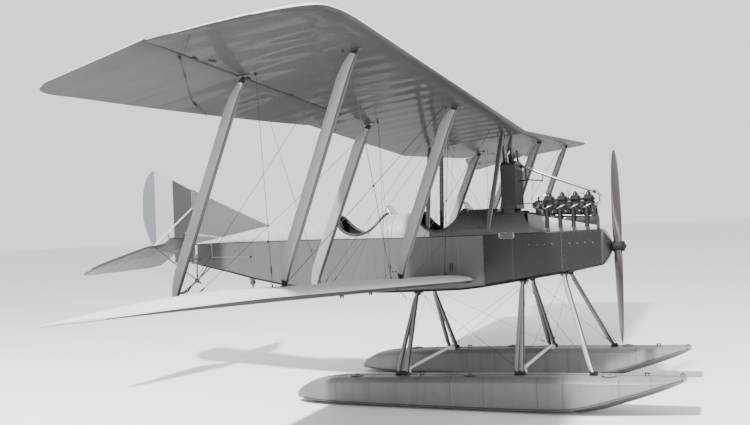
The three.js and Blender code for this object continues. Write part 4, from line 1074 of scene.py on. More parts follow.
# ------------------------ solids of the frame with eased edges
refined("hull", "side_grey", 0.006, inside=True)
refined("turtle_deck", "deck_white", 0.003, inside=True)
refined("cockpit_deck", "deck_dark", 0.003, inside=True)
refined("nose_cowl", "cowl_dark", 0.012)
for node, material, bevel, slot in (
        ("crankcase", "iron", 0.012, "alloy"),
        ("engine_bearer_left", "wood", 0.004, "wood_plain"),
        ("engine_bearer_right", "wood", 0.004, "wood_plain"),
        ("cylinder_row", "iron", 0.004, "iron"),
        ("rear_gear", "steel", 0.004, "steel"),
        ("radiator", "radiator_black", 0.006, "radiator_black"),
        ("fin", "tail_grey", 0.006, "fabric_grey")):
    refined(node, material, bevel)
for side in ("right", "left"):
    brace = refined(f"tail_brace_{side}", "strut_dark_and_painted_shade", 0.0)
    brace.data.materials.append(MATERIALS["strut_light"])
    for face in brace.data.polygons:
        if face.center.z > at(0, 0, ELEVATOR_Z + 0.035)[2]:
            face.material_index = 1
refined("tail_skid", "strut_dark_and_painted_shade", 0.002)
refined("seat_rear", "wood", 0.004)
refined("seat_front", "wood", 0.004)
refined("windscreen_rear", "pane", 0.0)
refined("windscreen_front", "pane", 0.0)
for side in ("right", "left"):
    for bay in ("inner", "outer"):
        refined(f"stays_{bay}_{side}", "cable", 0.0)

refined("rudder", "rudder_paint", 0.008, body="rudder")

# ------------------------ propeller
BLADE_SIDES = 32


def blade_ring(r, sign):
    wide, thick, pitch = (fair(BLADE, r, c) for c in (1, 2, 3))
    ring = []
    for j in range(BLADE_SIDES):
        turn = 2 * math.pi * j / BLADE_SIDES
        across, deep = math.cos(turn) * wide / 2, math.sin(turn) * thick / 2
        t = rad(pitch)
        ring.append(at(SHAFT_X + across * math.sin(t) + deep * math.cos(t),
                sign * (across * math.cos(t) - deep * math.sin(t)), SHAFT_Z + sign * r))
    return ring


blades = [skin([blade_ring(r, sign) for r in [*np.linspace(0, 1.3, 40), 1.32, 1.335, 1.343, 1.347]])
    for sign in (1, -1)]
hub = turned(at(SHAFT_X - 0.055, 0, SHAFT_Z), at(SHAFT_X + 0.075, 0, SHAFT_Z),
    [(0, 0.06), (0.08, 0.066), (0.92, 0.066), (1, 0.06)], 40)
cap = turned(at(SHAFT_X + 0.07, 0, SHAFT_Z), at(SHAFT_X + 0.095, 0, SHAFT_Z),
    [(0, 0.052), (0.7, 0.052), (1, 0.046)], 32)
wood_and_hub = several([*blades, hub])
make_piece("propeller_blades", wood_and_hub, "propeller_wood",
    body="propeller", instead_of=("propeller",),
    second=("hub_dark", [0] * (len(wood_and_hub[1]) - len(hub[1])) + [1] * len(hub[1])))
make_piece("propeller_boss", cap, "steel_dark", body="propeller")

# ------------------------ strut sockets, lugs and rigging
def bottom_of(spar, wing=UPPER):
    """Height of a wing's lower skin."""
    return fair(BOTTOM, spar / CHORD) * CHORD * wing["depth"]


def top_of(spar):
    """Height of the lower wing's upper skin."""
    return fair(TOP, spar / CHORD) * CHORD * LOWER["depth"]


def oval_plate(centre, normal, along, long, short, thick):
    """A thin oval plate with its face along a normal."""
    normal = np.asarray(normal, float) / np.linalg.norm(normal)
    along = np.asarray(along, float) - normal * (np.asarray(along) @ normal)
    along /= np.linalg.norm(along)
    across = np.cross(normal, along)
    turn = circle(20)[:, None]
    rim = np.cos(turn) * along * long / 2 + np.sin(turn) * across * short / 2
    return skin([np.asarray(centre) + rim * s + normal * h
            for s, h in ((1, 0), (1, thick * 0.7), (0.94, thick))])


SKIN_GAP, WIRE = 0.012, 0.0042
WIRES, TURNBUCKLES, LUGS = [], [], []


def wire(a, b, buckle=0.12):
    """One taut wire with a turnbuckle near its lower end; both ends stop in lugs."""
    a, b = np.asarray(a, float), np.asarray(b, float)
    run = (b - a) / np.linalg.norm(b - a)
    WIRES.append([a, b])
    LUGS.append((a, run, 1.0))
    LUGS.append((b, -run, 1.0))
    if buckle:
        TURNBUCKLES.append((a + run * 0.13, run, 1.0))


for y0, y1 in ((0.5, 2.56), (2.68, 5.52)):
    a, b = SPAR_REAR - 0.09, SPAR_REAR - 0.13
    wire(on_wing(LOWER, -y0, a, top_of(a) + SKIN_GAP),
        on_wing(UPPER, -y1, a, bottom_of(a) - SKIN_GAP))
    wire(on_wing(LOWER, -y1, b, top_of(b) + SKIN_GAP),
        on_wing(UPPER, -y0, b, bottom_of(b) - SKIN_GAP))
for y in (STRUT_INNER, STRUT_OUTER):
    for foot, head in ((SPAR_FRONT + 0.13, SPAR_REAR - 0.1), (SPAR_REAR - 0.06, SPAR_FRONT + 0.12)):
        shift = 0.035 if foot > head else -0.035
        wire(on_wing(LOWER, -(y + shift), foot, top_of(foot) + SKIN_GAP),
            on_wing(UPPER, -(y + shift), head, bottom_of(head) - SKIN_GAP))
for x, spar in ((-0.62, SPAR_FRONT + 0.09), (-1.36, SPAR_REAR - 0.09)):
    wire(at(x, -0.36, hull_at(x, LONGERON) + 0.09),
        on_wing(UPPER, 0.2, spar, bottom_of(spar) - SKIN_GAP), 0.1)
wire(at(-0.66, -0.365, -1.36),
    on_wing(UPPER, -0.27, SPAR_REAR - 0.12, bottom_of(SPAR_REAR) - SKIN_GAP))
# Thin drift wires beside the hull
wire(on_wing(LOWER, -0.62, 0.82, top_of(0.82) + SKIN_GAP), at(-1.06, -0.41, -1.39), 0.0)
wire(on_wing(LOWER, -0.9, 1.75, top_of(1.75) + SKIN_GAP), at(-2.36, -0.4, -1.4), 0.0)

swept("rigging_wires", both_lines(WIRES), WIRE, WIRE, "cable", sides=6)
TURNBUCKLE = turned((0, 0, -0.5), (0, 0, 0.5), [(0, 0.03), (0.16, 0.03), (0.2, 0.055), (0.5, 0.075),
        (0.8, 0.055), (0.84, 0.03), (1, 0.03)], 10)
LUG = several([turned((0, 0, -0.8), (0, 0, 0.5), [(0, 0.3), (0.25, 0.42), (0.7, 0.3), (1, 0.16)],
            8), turned((-0.36, 0, 0.05), (0.36, 0, 0.05), [(0, 0.16), (0.5, 0.2), (1, 0.16)], 8)])
copies("rigging_turnbuckles", both_spots(TURNBUCKLES), TURNBUCKLE, 0.09, "steel_dark")
copies("rigging_lugs", both_spots(LUGS), LUG, 0.02, "steel_dark")

sockets, bolts = [], []
for y, long in ((STRUT_INNER, 0.13), (STRUT_OUTER, 0.11)):
    for spar in (SPAR_FRONT, SPAR_REAR):
        h = bottom_of(spar)
        base = on_wing(UPPER, -y, spar, h - 0.001)
        down = on_wing(UPPER, -y, spar, h - 0.1) - base
        aft = on_wing(UPPER, -y, spar + 0.1, h) - base
        sockets.append(oval_plate(base, down, aft, long, 0.07, 0.005))
        for ds, dy in ((-0.05, 0), (0.05, 0), (0.02, 0.026), (0.02, -0.026)):
            bolts.append((on_wing(UPPER, -y + dy, spar + ds, h - 0.006), down, 1.0))
        foot = spar + (0.055 if spar == SPAR_REAR else 0)
        t = top_of(foot)
        base = on_wing(LOWER, -y, foot, t - 0.002)
        rise = on_wing(LOWER, -y, foot, t + 0.1) - base
        sockets.append(oval_plate(base, rise, on_wing(LOWER, -y, foot + 0.1, t) - base, long, 0.09,
                0.008))
        for ds, dy in ((-0.08, 0), (0.08, 0), (0.0, 0.038), (0.0, -0.038)):
            bolts.append((on_wing(LOWER, -y + dy, foot + ds, t + 0.006), rise, 1.0))
make_piece("strut_sockets", both_sides(several(sockets)), "steel")
copies("socket_bolts", both_spots(bolts), NUT, 0.013, "steel")

hooks = []
for y, s in ((4.85, 0.07), (4.8, 0.07), (4.13, 0.07), (4.08, 0.07)):
    base = on_wing(LOWER, -y, s, bottom_of(s, LOWER) + 0.004)
    drop = on_wing(LOWER, -y, s, bottom_of(s, LOWER) - 0.028)
    hooks.append(turned(base, drop,
            [(0, 0.012), (0.4, 0.01), (0.45, 0.006), (0.8, 0.008), (1, 0.004)], 10))
base = on_wing(LOWER, -3.3, 0.08, bottom_of(0.08, LOWER) + 0.002)
hooks.append(tube([base, base + (0.03, 0.0, -0.022), base + (0.07, 0.0, -0.05),
            base + (0.1, 0.01, -0.1)], 0.0042, 8))
make_piece("lower_wing_hooks", both_sides(several(hooks)), "steel_dark")

# Aileron control wires under the upper wing, with their turnbuckles
tip_run = [on_wing(UPPER, -y, s, bottom_of(min(s, 1.4)) * 0.5 - gap)
    for y, s, gap in ((6.8, 1.1, 0.004), (6.62, 1.28, 0.02), (6.45, 1.43, 0.03))]
swept("aileron_tip_wires", both_lines([tip_run]), 0.005, 0.005, "steel_dark", sides=6)
patch_mark = oval_plate(on_wing(UPPER, -6.11, 1.36, bottom_of(1.36) + 0.001),
    on_wing(UPPER, -6.11, 1.36, -1.0) - on_wing(UPPER, -6.11, 1.36, 0), (0, 1, 0), 0.1, 0.05, 0.004)
make_piece("wing_patch_plates", both_sides(patch_mark), "steel_dark")
for sign, side in SIDES:
    run = [on_aileron(sign * y, s, -0.04 + 0.03 * s)
        for y, s in ((6.42, 0.02), (6.09, 0.215), (5.75, 0.42), (5.4, 0.62), (4.9, 0.795))]
    knots = [turned(run[k] * 0.9 + run[k + 1] * 0.1, run[k] * 0.68 + run[k + 1] * 0.32,
            [(0, 0.003), (0.3, 0.009), (0.7, 0.009), (1, 0.003)], 8) for k in (1, 3)]
    heel = turned(on_aileron(sign * 6.42, 0.02, -0.02), on_aileron(sign * 6.42, 0.02, -0.052),
        [(0, 0.016), (0.6, 0.012), (1, 0.007)], 10)
    make_piece(f"aileron_{side}_wire", several([tube(run, 0.003, 6), *knots, heel]), "steel_dark",
        body=f"aileron_{side}")
hinges = []
for y in (3.75, 4.6, 5.45, 6.3):
    a, b = (on_wing(UPPER, -(y + d), 1.405, bottom_of(1.4) - 0.004) for d in (-0.03, 0.03))
    hinges.append(turned(a, b, [(0, 0.008), (0.1, 0.01), (0.9, 0.01), (1, 0.008)], 10))
make_piece("aileron_hinge_straps", both_sides(several(hinges)), "steel_dark")


# ------------------------ hull seams, beads and small fittings
def side_point(x, z, off=0.0, side=-1):
    return at(x, side * (hull_at(x, HALF) + off), z)


def deck_point(x, angle, off=0.0):
    """A point of the arched deck; the angle counts up from the longeron."""
    w, base = hull_at(x, HALF) + off, hull_at(x, LONGERON)
    rise = hull_at(x, CROWN) - base + off
    return at(x, -w * math.cos(rad(angle)), base + rise * math.sin(rad(angle)))


longeron_bead = [side_point(x, hull_at(x, LONGERON) + 0.001, 0.001)
    for x in np.linspace(-5.6, -0.62, 60)]
floor_bead = [at(x, -(hull_at(x, HALF) - 0.006), hull_at(x, FLOOR_LINE) + 0.012)
    for x in np.linspace(-5.6, -0.62, 60)]
swept("hull_longeron_beads", both_lines([longeron_bead]), 0.009, 0.009, "steel_dark",
    slot="fabric_grey", sides=8)
swept("hull_floor_beads", both_lines([floor_bead]), 0.024, 0.02, "cowl_dark", slot="fabric_grey",
    sides=8)
tapes = []
for x in (-5.25, -4.85, -4.45, -4.05, -3.6, -3.15, -2.7, -2.2, -1.75, -1.4, -0.98):
    top, low = hull_at(x, LONGERON) - 0.012, hull_at(x, FLOOR_LINE) + 0.05
    tapes.append([side_point(x, z, 0.0) for z in np.linspace(low, top, 6)])
swept("hull_side_tapes", both_lines(tapes), 0.026, 0.003, "side_tape", sides=8)
arcs = []
for x in (-5.2, -4.6, -3.97, -3.35, -3.0, -2.052, -1.9, -1.72):
    arcs.append([deck_point(x, t, 0.0) for t in np.linspace(4, 176, 40)])
swept("deck_tapes", arcs, 0.022, 0.003, "deck_white", sides=8)
seams = [[deck_point(x, t, 0.0003) for t in np.linspace(3, 177, 40)] for x in (-2.16, -2.0)]
swept("deck_seams", seams, 0.004, 0.0026, "steel_dark", slot="fabric_white", sides=6)
cowl_seams = [[side_point(x, z, 0.0002) for z in np.linspace(hull_at(x, FLOOR_LINE) + 0.04,
            hull_at(x, LONGERON) - 0.01, 5)] for x in (-0.19, 0.49)]
cowl_seams.append([side_point(x, -1.6, 0.0002) for x in np.linspace(-0.19, 0.98, 14)])
swept("cowl_seams", both_lines(cowl_seams), 0.006, 0.003, "cowl_edge", sides=6)
lead_edge = [side_point(-0.607, z, 0.002) for z in np.linspace(-2.18, -1.48, 8)]
lead_edge += [deck_point(-0.607, t, 0.003) for t in np.linspace(3, 90, 14)]
swept("cowl_front_edge", both_lines([lead_edge]), 0.014, 0.004, "cowl_edge", sides=8)

screws = []
for x in np.arange(-0.54, 0.99, 0.075):
    for z in (hull_at(x, LONGERON) - 0.03, hull_at(x, FLOOR_LINE) + 0.06):
        screws.append((side_point(x, z), (0, -1, 0), 1.0))
for z in np.arange(-2.1, -1.5, 0.075):
    for x in (-0.565, -0.165, 0.515):
        screws.append((side_point(x, z), (0, -1, 0), 1.0))
for x in (-0.57, -0.48, -1.38):
    for t in np.arange(6, 90, 9):
        if abs(x + 1.38) > 0.1 or t < 14:
            p = deck_point(x, t)
            screws.append((p, deck_point(x, t, 0.1) - p, 0.9))
for x in np.arange(-1.36, -0.5, 0.075):
    screws.append((deck_point(x, 7), deck_point(x, 7, 0.1) - deck_point(x, 7), 0.9))
for x in np.arange(-5.5, -1.5, 0.1):
    screws.append((deck_point(x, 6), deck_point(x, 6, 0.1) - deck_point(x, 6), 0.7))
copies("skin_screws", both_spots(screws), SCREW, 0.011, "steel")

# Cooling louvres: two groups of four hooded slots each side
LOUVRE_Z, LOUVRE_TALL = -1.65, 0.03
hood_rows = []
for first, last in ((0.044, 0.359), (0.599, 0.91)):
    for x in np.linspace(first, last, 4):
        rings = []
        for s in np.linspace(0, 1, 7):
            z = LOUVRE_Z + LOUVRE_TALL * s
            swell = math.sin(math.pi * s) ** 0.6 * 0.014 if 0 < s < 1 else 0.0005
            rings.append([side_point(x + dx, z, swell * math.cos(dx / 0.015 * 1.45)
                        if abs(dx) < 0.015 else -0.004) for dx in np.linspace(-0.017, 0.017, 11)])
        back = np.array(rings) + np.array([0, 0.006, 0])
        hood_rows.append(skin([np.vstack([r, b[::-1]]) for r, b in zip(np.array(rings), back)]))
hoods = several(hood_rows)
make_piece("cowl_louvres", both_sides(hoods), "steel")

# Blank plate on the cowl
PLATE_X, PLATE_Z = -0.265, -1.492
plate_rows, plate_rims = [], []
for side in (-1, 1):
    rim = [side_point(PLATE_X + 0.105 * math.copysign(abs(math.cos(t)) ** 0.45, math.cos(t)),
            PLATE_Z + 0.045 * math.copysign(abs(math.sin(t)) ** 0.45, math.sin(t)), 0.002, side)
        for t in circle(40)]
    plate_rims.append(tube(rim, 0.0055, 8, closed=True))
    plate_rows.append(skin([np.array(rim) + (0, side * h, 0) for h in (-0.004, 0.0025)]))
    for dx in (-0.085, 0.085):
        plate_rims.append(turned(side_point(PLATE_X + dx, PLATE_Z, 0.002, side), side_point(PLATE_X
                    + dx, PLATE_Z, 0.008, side), [(0, 0.006), (0.6, 0.006), (1, 0.003)], 10))
make_piece("cowl_blank_plates", several(plate_rows), "plate_metal")
make_piece("cowl_plate_rims", several(plate_rims), "alloy_bright")

# Mounting step under the rear hull, control wires along the sides and their guides
step = several([block(-4.6, -4.5, -0.16, -0.1, -2.08, -2.055, 0.003),
        turned(at(-4.55, -0.13, -2.07), at(-4.55, -0.13, -2.26), [(0, 0.03), (0.45, 0.03),
                (0.5, 0.012), (0.92, 0.01), (1, 0.016)], 14), turned(at(-4.55, -0.175, -2.12),
            at(-4.55, -0.085, -2.12), [(0, 0.026), (0.15, 0.034), (0.85, 0.034), (1, 0.026)], 16)])
make_piece("hull_step", step, "steel")
cable_runs = []
for side in (-1, 1):
    cable_runs.append([side_point(-5.32, -1.69, 0.03, side), side_point(-4.55, -1.7, 0.012, side)])
    cable_runs.append([side_point(-5.32, -1.69, 0.03, side), side_point(-5.33, -1.47, 0.03, side),
            at(-5.6, side * 0.1, -1.44)])
    cable_runs.append([at(-5.63, side * 0.42, -1.262), side_point(-4.95, -1.38, 0.05, side),
            side_point(-4.2, -1.46, 0.004, side)])
    cable_runs.append([at(-5.63, side * 0.42, -1.275), side_point(-5.2, -1.36, 0.07, side),
            side_point(-4.6, -1.4, 0.02, side)])
swept("control_cables", cable_runs, WIRE, WIRE, "cable_light", sides=6)
guides = []
for side in (-1, 1):
    for x, z in ((-5.32, -1.69), (-4.55, -1.7), (-4.2, -1.46)):
        p, q = side_point(x, z, -0.002, side), side_point(x, z, 0.022, side)
        guides.append(turned(p, q, [(0, 0.02), (0.3, 0.018), (0.35, 0.008), (1, 0.008)], 14))
    guides.append(block(-1.105, -1.095, side * 0.396, side * 0.408, -1.99, -1.87, 0.001))
    guides.append(block(-1.075, -1.065, side * 0.396, side * 0.408, -1.99, -1.87, 0.001))
    guides.append(turned(side_point(-1.163, -2.027, 0, side),
            side_point(-1.163, -2.027, 0.014, side), [(0, 0.014), (0.6, 0.014), (1, 0.006)], 12))
    for x, z in ((-1.95, -1.97), (-2.0, -1.97), (-4.86, -1.6), (-3.38, -1.62), (-1.72, -1.76)):
        guides.append(turned(side_point(x, z, 0, side), side_point(x, z, 0.008, side),
                [(0, 0.012), (0.6, 0.012), (1, 0.005)], 12))
make_piece("hull_guides", several(guides), "steel_dark")


# ------------------------ cockpits
RIM_POINTS = 60


def cockpit_rim(cut, off):
    """The closed edge that an oval cut leaves on the arched deck."""
    right_side = []
    for t in np.linspace(-180, 0, 721):
        x, z = cut["x"] + cut["a"] * math.cos(rad(t)), cut["z"] + cut["b"] * math.sin(rad(t))
        w, base = hull_at(x, HALF), hull_at(x, LONGERON)
        share = (z - base) / (hull_at(x, CROWN) - base)
        if 0 <= share < 1:
            right_side.append(at(x, -(w * math.sqrt(1 - share * share)), z) + (0, 0, off))
    right_side = np.array(right_side)
    ends = [right_side[0] * (1, 0, 1), right_side[-1] * (1, 0, 1)]
    path = np.vstack([ends[0], right_side, ends[1]])
    run = np.r_[0, np.cumsum(np.linalg.norm(np.diff(path, axis=0), axis=1))]
    half = np.array([[np.interp(s, run, path[:, k]) for k in range(3)]
            for s in np.linspace(0, run[-1], RIM_POINTS)])
    return np.vstack([half, (half * ACROSS)[-2:0:-1]])


for place, cut in (("rear", REAR_COCKPIT), ("front", FRONT_COCKPIT)):
    rim = cockpit_rim(cut, 0.004)
    roll = make_piece(f"coaming_{place}", tube(rim, 0.017, 12, closed=True), "leather")
    laces = []
    for i in range(0, len(rim), 2):
        a, b = rim[i - 1], rim[(i + 1) % len(rim)]
        along = (b - a) / np.linalg.norm(b - a)
        laces.append((rim[i], along, 1.0))
    ring = tube([(0.5 * math.cos(t), 0.5 * math.sin(t), 0) for t in circle(14)], 0.045, 4,
        closed=True)
    copies(f"coaming_laces_{place}", laces, ring, 0.0362, "lace")

SEATS = dict(rear=-2.5, front=-1.25)
BOARD_AHEAD = 0.43
fittings = []
for x in SEATS.values():
    face = x + BOARD_AHEAD
    panel = [at(face, y, z) for y, z in ((-0.3, -1.62), (0.3, -1.62), (0.3, -1.36), (0.2, -1.25),
            (-0.2, -1.25), (-0.3, -1.36))]
    fittings.append(skin([np.array(panel), np.array(panel) + (0.012, 0, 0)]))
make_piece("instrument_boards", several(fittings), "wood")
dials, dial_faces = [], []
for x in SEATS.values():
    for y, z, r in ((-0.17, -1.4, 0.045), (-0.05, -1.38, 0.052), (0.08, -1.38, 0.045),
            (0.19, -1.42, 0.034), (0.02, -1.5, 0.03)):
        a = at(x + BOARD_AHEAD, y, z)
        dials.append(turned(a + (0.002, 0, 0), a - (0.012, 0, 0), [(0, r), (0.8, r), (1, r * 0.85)],
                24))
        dial_faces.append(turned(a - (0.011, 0, 0), a - (0.014, 0, 0),
                [(0, r * 0.8), (1, r * 0.78)], 24))
make_piece("instrument_rims", several(dials), "brass")
make_piece("instrument_faces", several(dial_faces), "deck_white")
wheel_parts = []
for x in (-2.12, -0.93):
    wheel_parts.append(turned(at(x + 0.02, 0, -2.165), at(x - 0.02, 0, -1.62),
            [(0, 0.02), (0.1, 0.014), (0.8, 0.013), (0.82, 0.019), (1, 0.017)], 14))
    wheel_parts.append(tube([at(x + 0.01, 0, -1.66) + np.array([0, 0.14 * math.cos(t),
                        0.14 * math.sin(t) + 0.02]) for t in circle(36)], 0.011, 10, closed=True))
    for t in (30, 150, 270):
        wheel_parts.append(tube([at(x + 0.01, 0, -1.66) + (0, 0, 0.02), at(x + 0.01, 0, -1.66)
                    + np.array([0, 0.14 * math.cos(rad(t)), 0.14 * math.sin(rad(t)) + 0.02])],
                0.006, 8))
make_piece("control_wheels", several(wheel_parts), "wood")
for place, x in SEATS.items():
    rings = []
    for s, grow in ((0.0, 0.93), (0.25, 1.0), (0.7, 1.0), (0.92, 0.95), (1.0, 0.86)):
        z = -1.908 + 0.075 * s
        rings.append([at(x + 0.01 + 0.19 * grow * math.copysign(abs(math.cos(t)) ** 0.4,
                        math.cos(t)), 0.205 * grow * math.copysign(abs(math.sin(t)) ** 0.4,
                        math.sin(t)), z) for t in circle(40)])
    cushion = make_piece(f"seat_cushion_{place}", skin(rings), "leather", sharp=60)
screen_frames = []
for x in (-2.02, -0.8):
    rim = [(0.16, -1.2), (0.16, -1.06), (0.09, -0.985), (-0.09, -0.985), (-0.16, -1.06),
        (-0.16, -1.2)]
    screen_frames.append(tube([at(x + 0.006 - (z + 1.24) * 0.6, y, z) for y, z in rim], 0.0065, 8))
    screen_frames.append(tube([at(x + 0.012, 0.155, -1.13), at(x + 0.13, 0.13, -1.165)], 0.004, 8))
    screen_frames.append(tube([at(x + 0.012, -0.155, -1.13), at(x + 0.13, -0.13, -1.165)], 0.004,
            8))
make_piece("windscreen_frames", several(screen_frames), "alloy")

# ------------------------ engine details
END_EASE = 0.12


def bar_of(a, b, radius, sides=14):
    """A round bar with slightly narrower ends."""
    return turned(a, b, [(0, radius * (1 - END_EASE)), (0.04, radius), (0.96, radius),
            (1, radius * (1 - END_EASE))], sides)


dark_parts, bright_parts, steel_parts, small_parts = [], [], [], []
for x in CYLINDERS:
    # Water jacket bands and hold-down flange
    for z, r in ((-1.247, 0.1), (-1.17, 0.0905), (-1.1, 0.0905)):
        steel_parts.append(turned(at(x, 0, z), at(x, 0, z + 0.012),
                [(0, r * 0.9), (0.3, r * UNIT), (0.7, r * UNIT), (1, r * 0.9)], 32))
    # Valve gear: springs, posts and rockers over the head
    for y in (-0.075, 0.075):
        coil = []
        for k in range(45):
            t = k / 44
            coil.append(at(x + 0.022 * math.cos(t * 9 * math.pi),
                    y + 0.022 * math.sin(t * 9 * math.pi), -0.965 + 0.034 * t))
        steel_parts.append(tube(coil, 0.0035, 5))
        steel_parts.append(bar_of(at(x, y, -0.966), at(x, y, -0.925), 0.007, 10))
        steel_parts.append(bar_of(at(x, y, -0.932), at(x, y, -0.926), 0.024, 16))
        dark_parts.append(tube([at(x, y, -0.922), at(x, y * 0.6, -0.914), at(x, y * 0.15, -0.922),
                    at(x + 0.01, -y * 0.2, -0.93)], 0.01, 8))
    dark_parts.append(block(x - 0.03, x + 0.03, -0.024, 0.024, -0.97, -0.925, 0.004))
    steel_parts.append(bar_of(at(x, -0.032, -0.93), at(x, 0.032, -0.93), 0.011, 12))
    # Bright water elbows rising forward over each jacket
    bright_parts.append(tube([at(x - 0.072, -0.09, -1.15), at(x - 0.058, -0.112, -1.14),
                at(x - 0.02, -0.118, -1.122), at(x + 0.018, -0.112, -1.104),
                at(x + 0.036, -0.09, -1.094)], [0.012, 0.013, 0.013, 0.012, 0.011], 14))
    steel_parts.append(bar_of(at(x - 0.078, -0.086, -1.154), at(x - 0.064, -0.096, -1.146), 0.018,
            16))
    # Priming cup, spark plugs and their caps
    bright_parts.append(turned(at(x + 0.06, -0.08, -1.192), at(x + 0.06, -0.13, -1.184),
            [(0, 0.008), (0.4, 0.008), (0.45, 0.013), (0.8, 0.015), (1, 0.008)], 12))
    for y in (-0.088, 0.088):
        small_parts.append(turned(at(x - 0.05, y, -1.09), at(x - 0.05, y * 1.7, -1.07),
                [(0, 0.011), (0.3, 0.011), (0.32, 0.007), (0.8, 0.006), (1, 0.003)], 10))
    # Exhaust flange and its collar at the lower end
    steel_parts.append(bar_of(at(x - 0.015, -0.078, -1.137), at(x - 0.015, -0.1, -1.147), 0.034,
            18))
    dark_parts.append(turned(at(x - 0.015, -0.2, -1.385), at(x - 0.015, -0.2, -1.408),
            [(0, 0.025), (0.3, 0.028), (1, 0.027)], 20))
    # Inlet side
    bright_parts.append(tube([at(x, 0.09, -1.1), at(x, 0.15, -1.11), at(x, 0.19, -1.15),
                at(x, 0.2, -1.2)], 0.02, 12))
for high, low in ((-1.235, -1.265), (-1.279, -1.292)):
    bright_parts.append(bar_of(at(0.4, -0.132, high), at(0.9, -0.132, low), 0.0065, 10))
bright_parts.append(bar_of(at(0.2, 0.2, -1.22), at(0.92, 0.2, -1.22), 0.026, 16))
bright_parts.append(bar_of(at(0.56, 0.2, -1.22), at(0.56, 0.2, -1.42), 0.024, 16))
dark_parts.append(turned(at(0.56, 0.2, -1.36), at(0.56, 0.2, -1.48),
        [(0, 0.03), (0.1, 0.045), (0.8, 0.045), (1, 0.02)], 20))
# Cam cover, front case and hoops
dark_parts.append(block(CYLINDERS[0] - 0.09, 0.935, -0.045, 0.045, -1.04, -1.002, 0.008))
dark_parts.append(block(0.885, 0.952, -0.13, 0.13, -1.385, -1.108, 0.012))
dark_parts.append(bar_of(at(0.94, -0.0, -1.24), at(0.965, 0.0, -1.24), 0.075, 28))
for x in (0.23, 0.755):
    bright_parts.append(tube([at(x + 0.056 * math.cos(t), -0.02, -0.975 + 0.036 * math.sin(t))
                for t in np.linspace(math.pi, 0, 14)], 0.006, 8))
steel_parts.append(bar_of(at(0.572, -0.03, -1.027), at(0.572, -0.03, -0.878), 0.0055, 8))
# Ignition wires from the rear gear
for n, x in enumerate(CYLINDERS):
    lift = -0.965 - 0.004 * n
    dark_parts.append(tube([at(0.2, -0.05, -1.09), at(0.25, -0.1, -1.03 + 0.005 * n),
                at(x - 0.1, -0.14, lift - 0.1), at(x - 0.05, -0.15, -1.069)], 0.0036, 6))
# Rear gear: rods to the board behind the radiator, small round body and cap
for z, dz in ((-1.05, 0.0), (-1.175, -0.02)):
    steel_parts.append(bar_of(at(-0.1, -0.12, z), at(0.13, -0.11, z + dz), 0.007, 8))
steel_parts.append(turned(at(0.13, -0.1, -1.085), at(0.13, -0.17, -1.085),
        [(0, 0.045), (0.15, 0.05), (0.8, 0.05), (1, 0.027)], 26))
small_parts.append(turned(at(0.13, -0.17, -1.085), at(0.13, -0.19, -1.085),
        [(0, 0.018), (0.7, 0.018), (1, 0.008)], 14))
steel_parts.append(bar_of(at(0.15, -0.02, -1.02), at(0.15, -0.02, -0.96), 0.014, 12))
for name, rows, material in (("dark", dark_parts, "iron"), ("bright", bright_parts, "alloy_bright"),
        ("steel", steel_parts, "steel"), ("small", small_parts, "steel_dark")):
    make_piece(f"engine_{name}_parts", several(rows), material)
studs = []
for x in np.linspace(0.05, 0.95, 14):
    for y in (-0.128, 0.128):
        studs.append((at(x, y, -1.256), (0, 0, 1), 1.0))
for x in CYLINDERS:
    for t in range(0, 360, 45):
        studs.append((at(x + 0.098 * math.cos(rad(t)), 0.098 * math.sin(rad(t)), -1.24), (0, 0, 1),
                0.8))
copies("engine_studs", studs, NUT, 0.016, "steel")
# Dull metal lining of the engine bay's lower sides, with a curved rear edge
bay = []
for side in (-1, 1):
    rows = []
    for x in [*np.linspace(0.01, 0.16, 16), *np.linspace(0.2, 0.965, 16)]:
        low = hull_at(x, LONGERON) - 0.03
        corner = 0.17 * (1 - math.sqrt(max(0.0, 1 - min(1.0, max(0.0, (0.16 - x) / 0.15)) ** 2)))
        high = -1.187 - (x - 0.002) * 0.21
        low = min(low + corner, high - 0.01)
        rows.append([at(x, side * y, z)
                for y, z in ((0.172, low), (0.172, high), (0.165, high + 0.008),
                    (0.1, high + 0.016), (0.1, high + 0.01), (0.163, high), (0.168, low))])
    bay.append(skin(rows))
    lip = [at(x, side * 0.176, -1.181 - (x - 0.002) * 0.21) for x in np.linspace(0.01, 0.965, 20)]
    dark_lip = tube(lip, 0.0065, 8)
    bay.append(dark_lip)
make_piece("engine_bay_fairings", several([bay[0], bay[2]]), "bay_metal", sharp=50)
make_piece("engine_bay_lips", several([bay[1], bay[3]]), "iron", sharp=50)
shelf = []
for side in (-1, 1):
    shelf.append(skin([[at(x, side * y, z) for y, z in ((0.17, hull_at(x, LONGERON) - 0.03),
                        (hull_at(x, HALF) - 0.028, hull_at(x, LONGERON) - 0.03),
                        (hull_at(x, HALF) - 0.028, hull_at(x, LONGERON) - 0.024), (0.17, hull_at(x,
                                LONGERON) - 0.024))] for x in np.linspace(-0.08, 0.975, 12)]))
make_piece("engine_bay_shelves", several(shelf), "alloy")

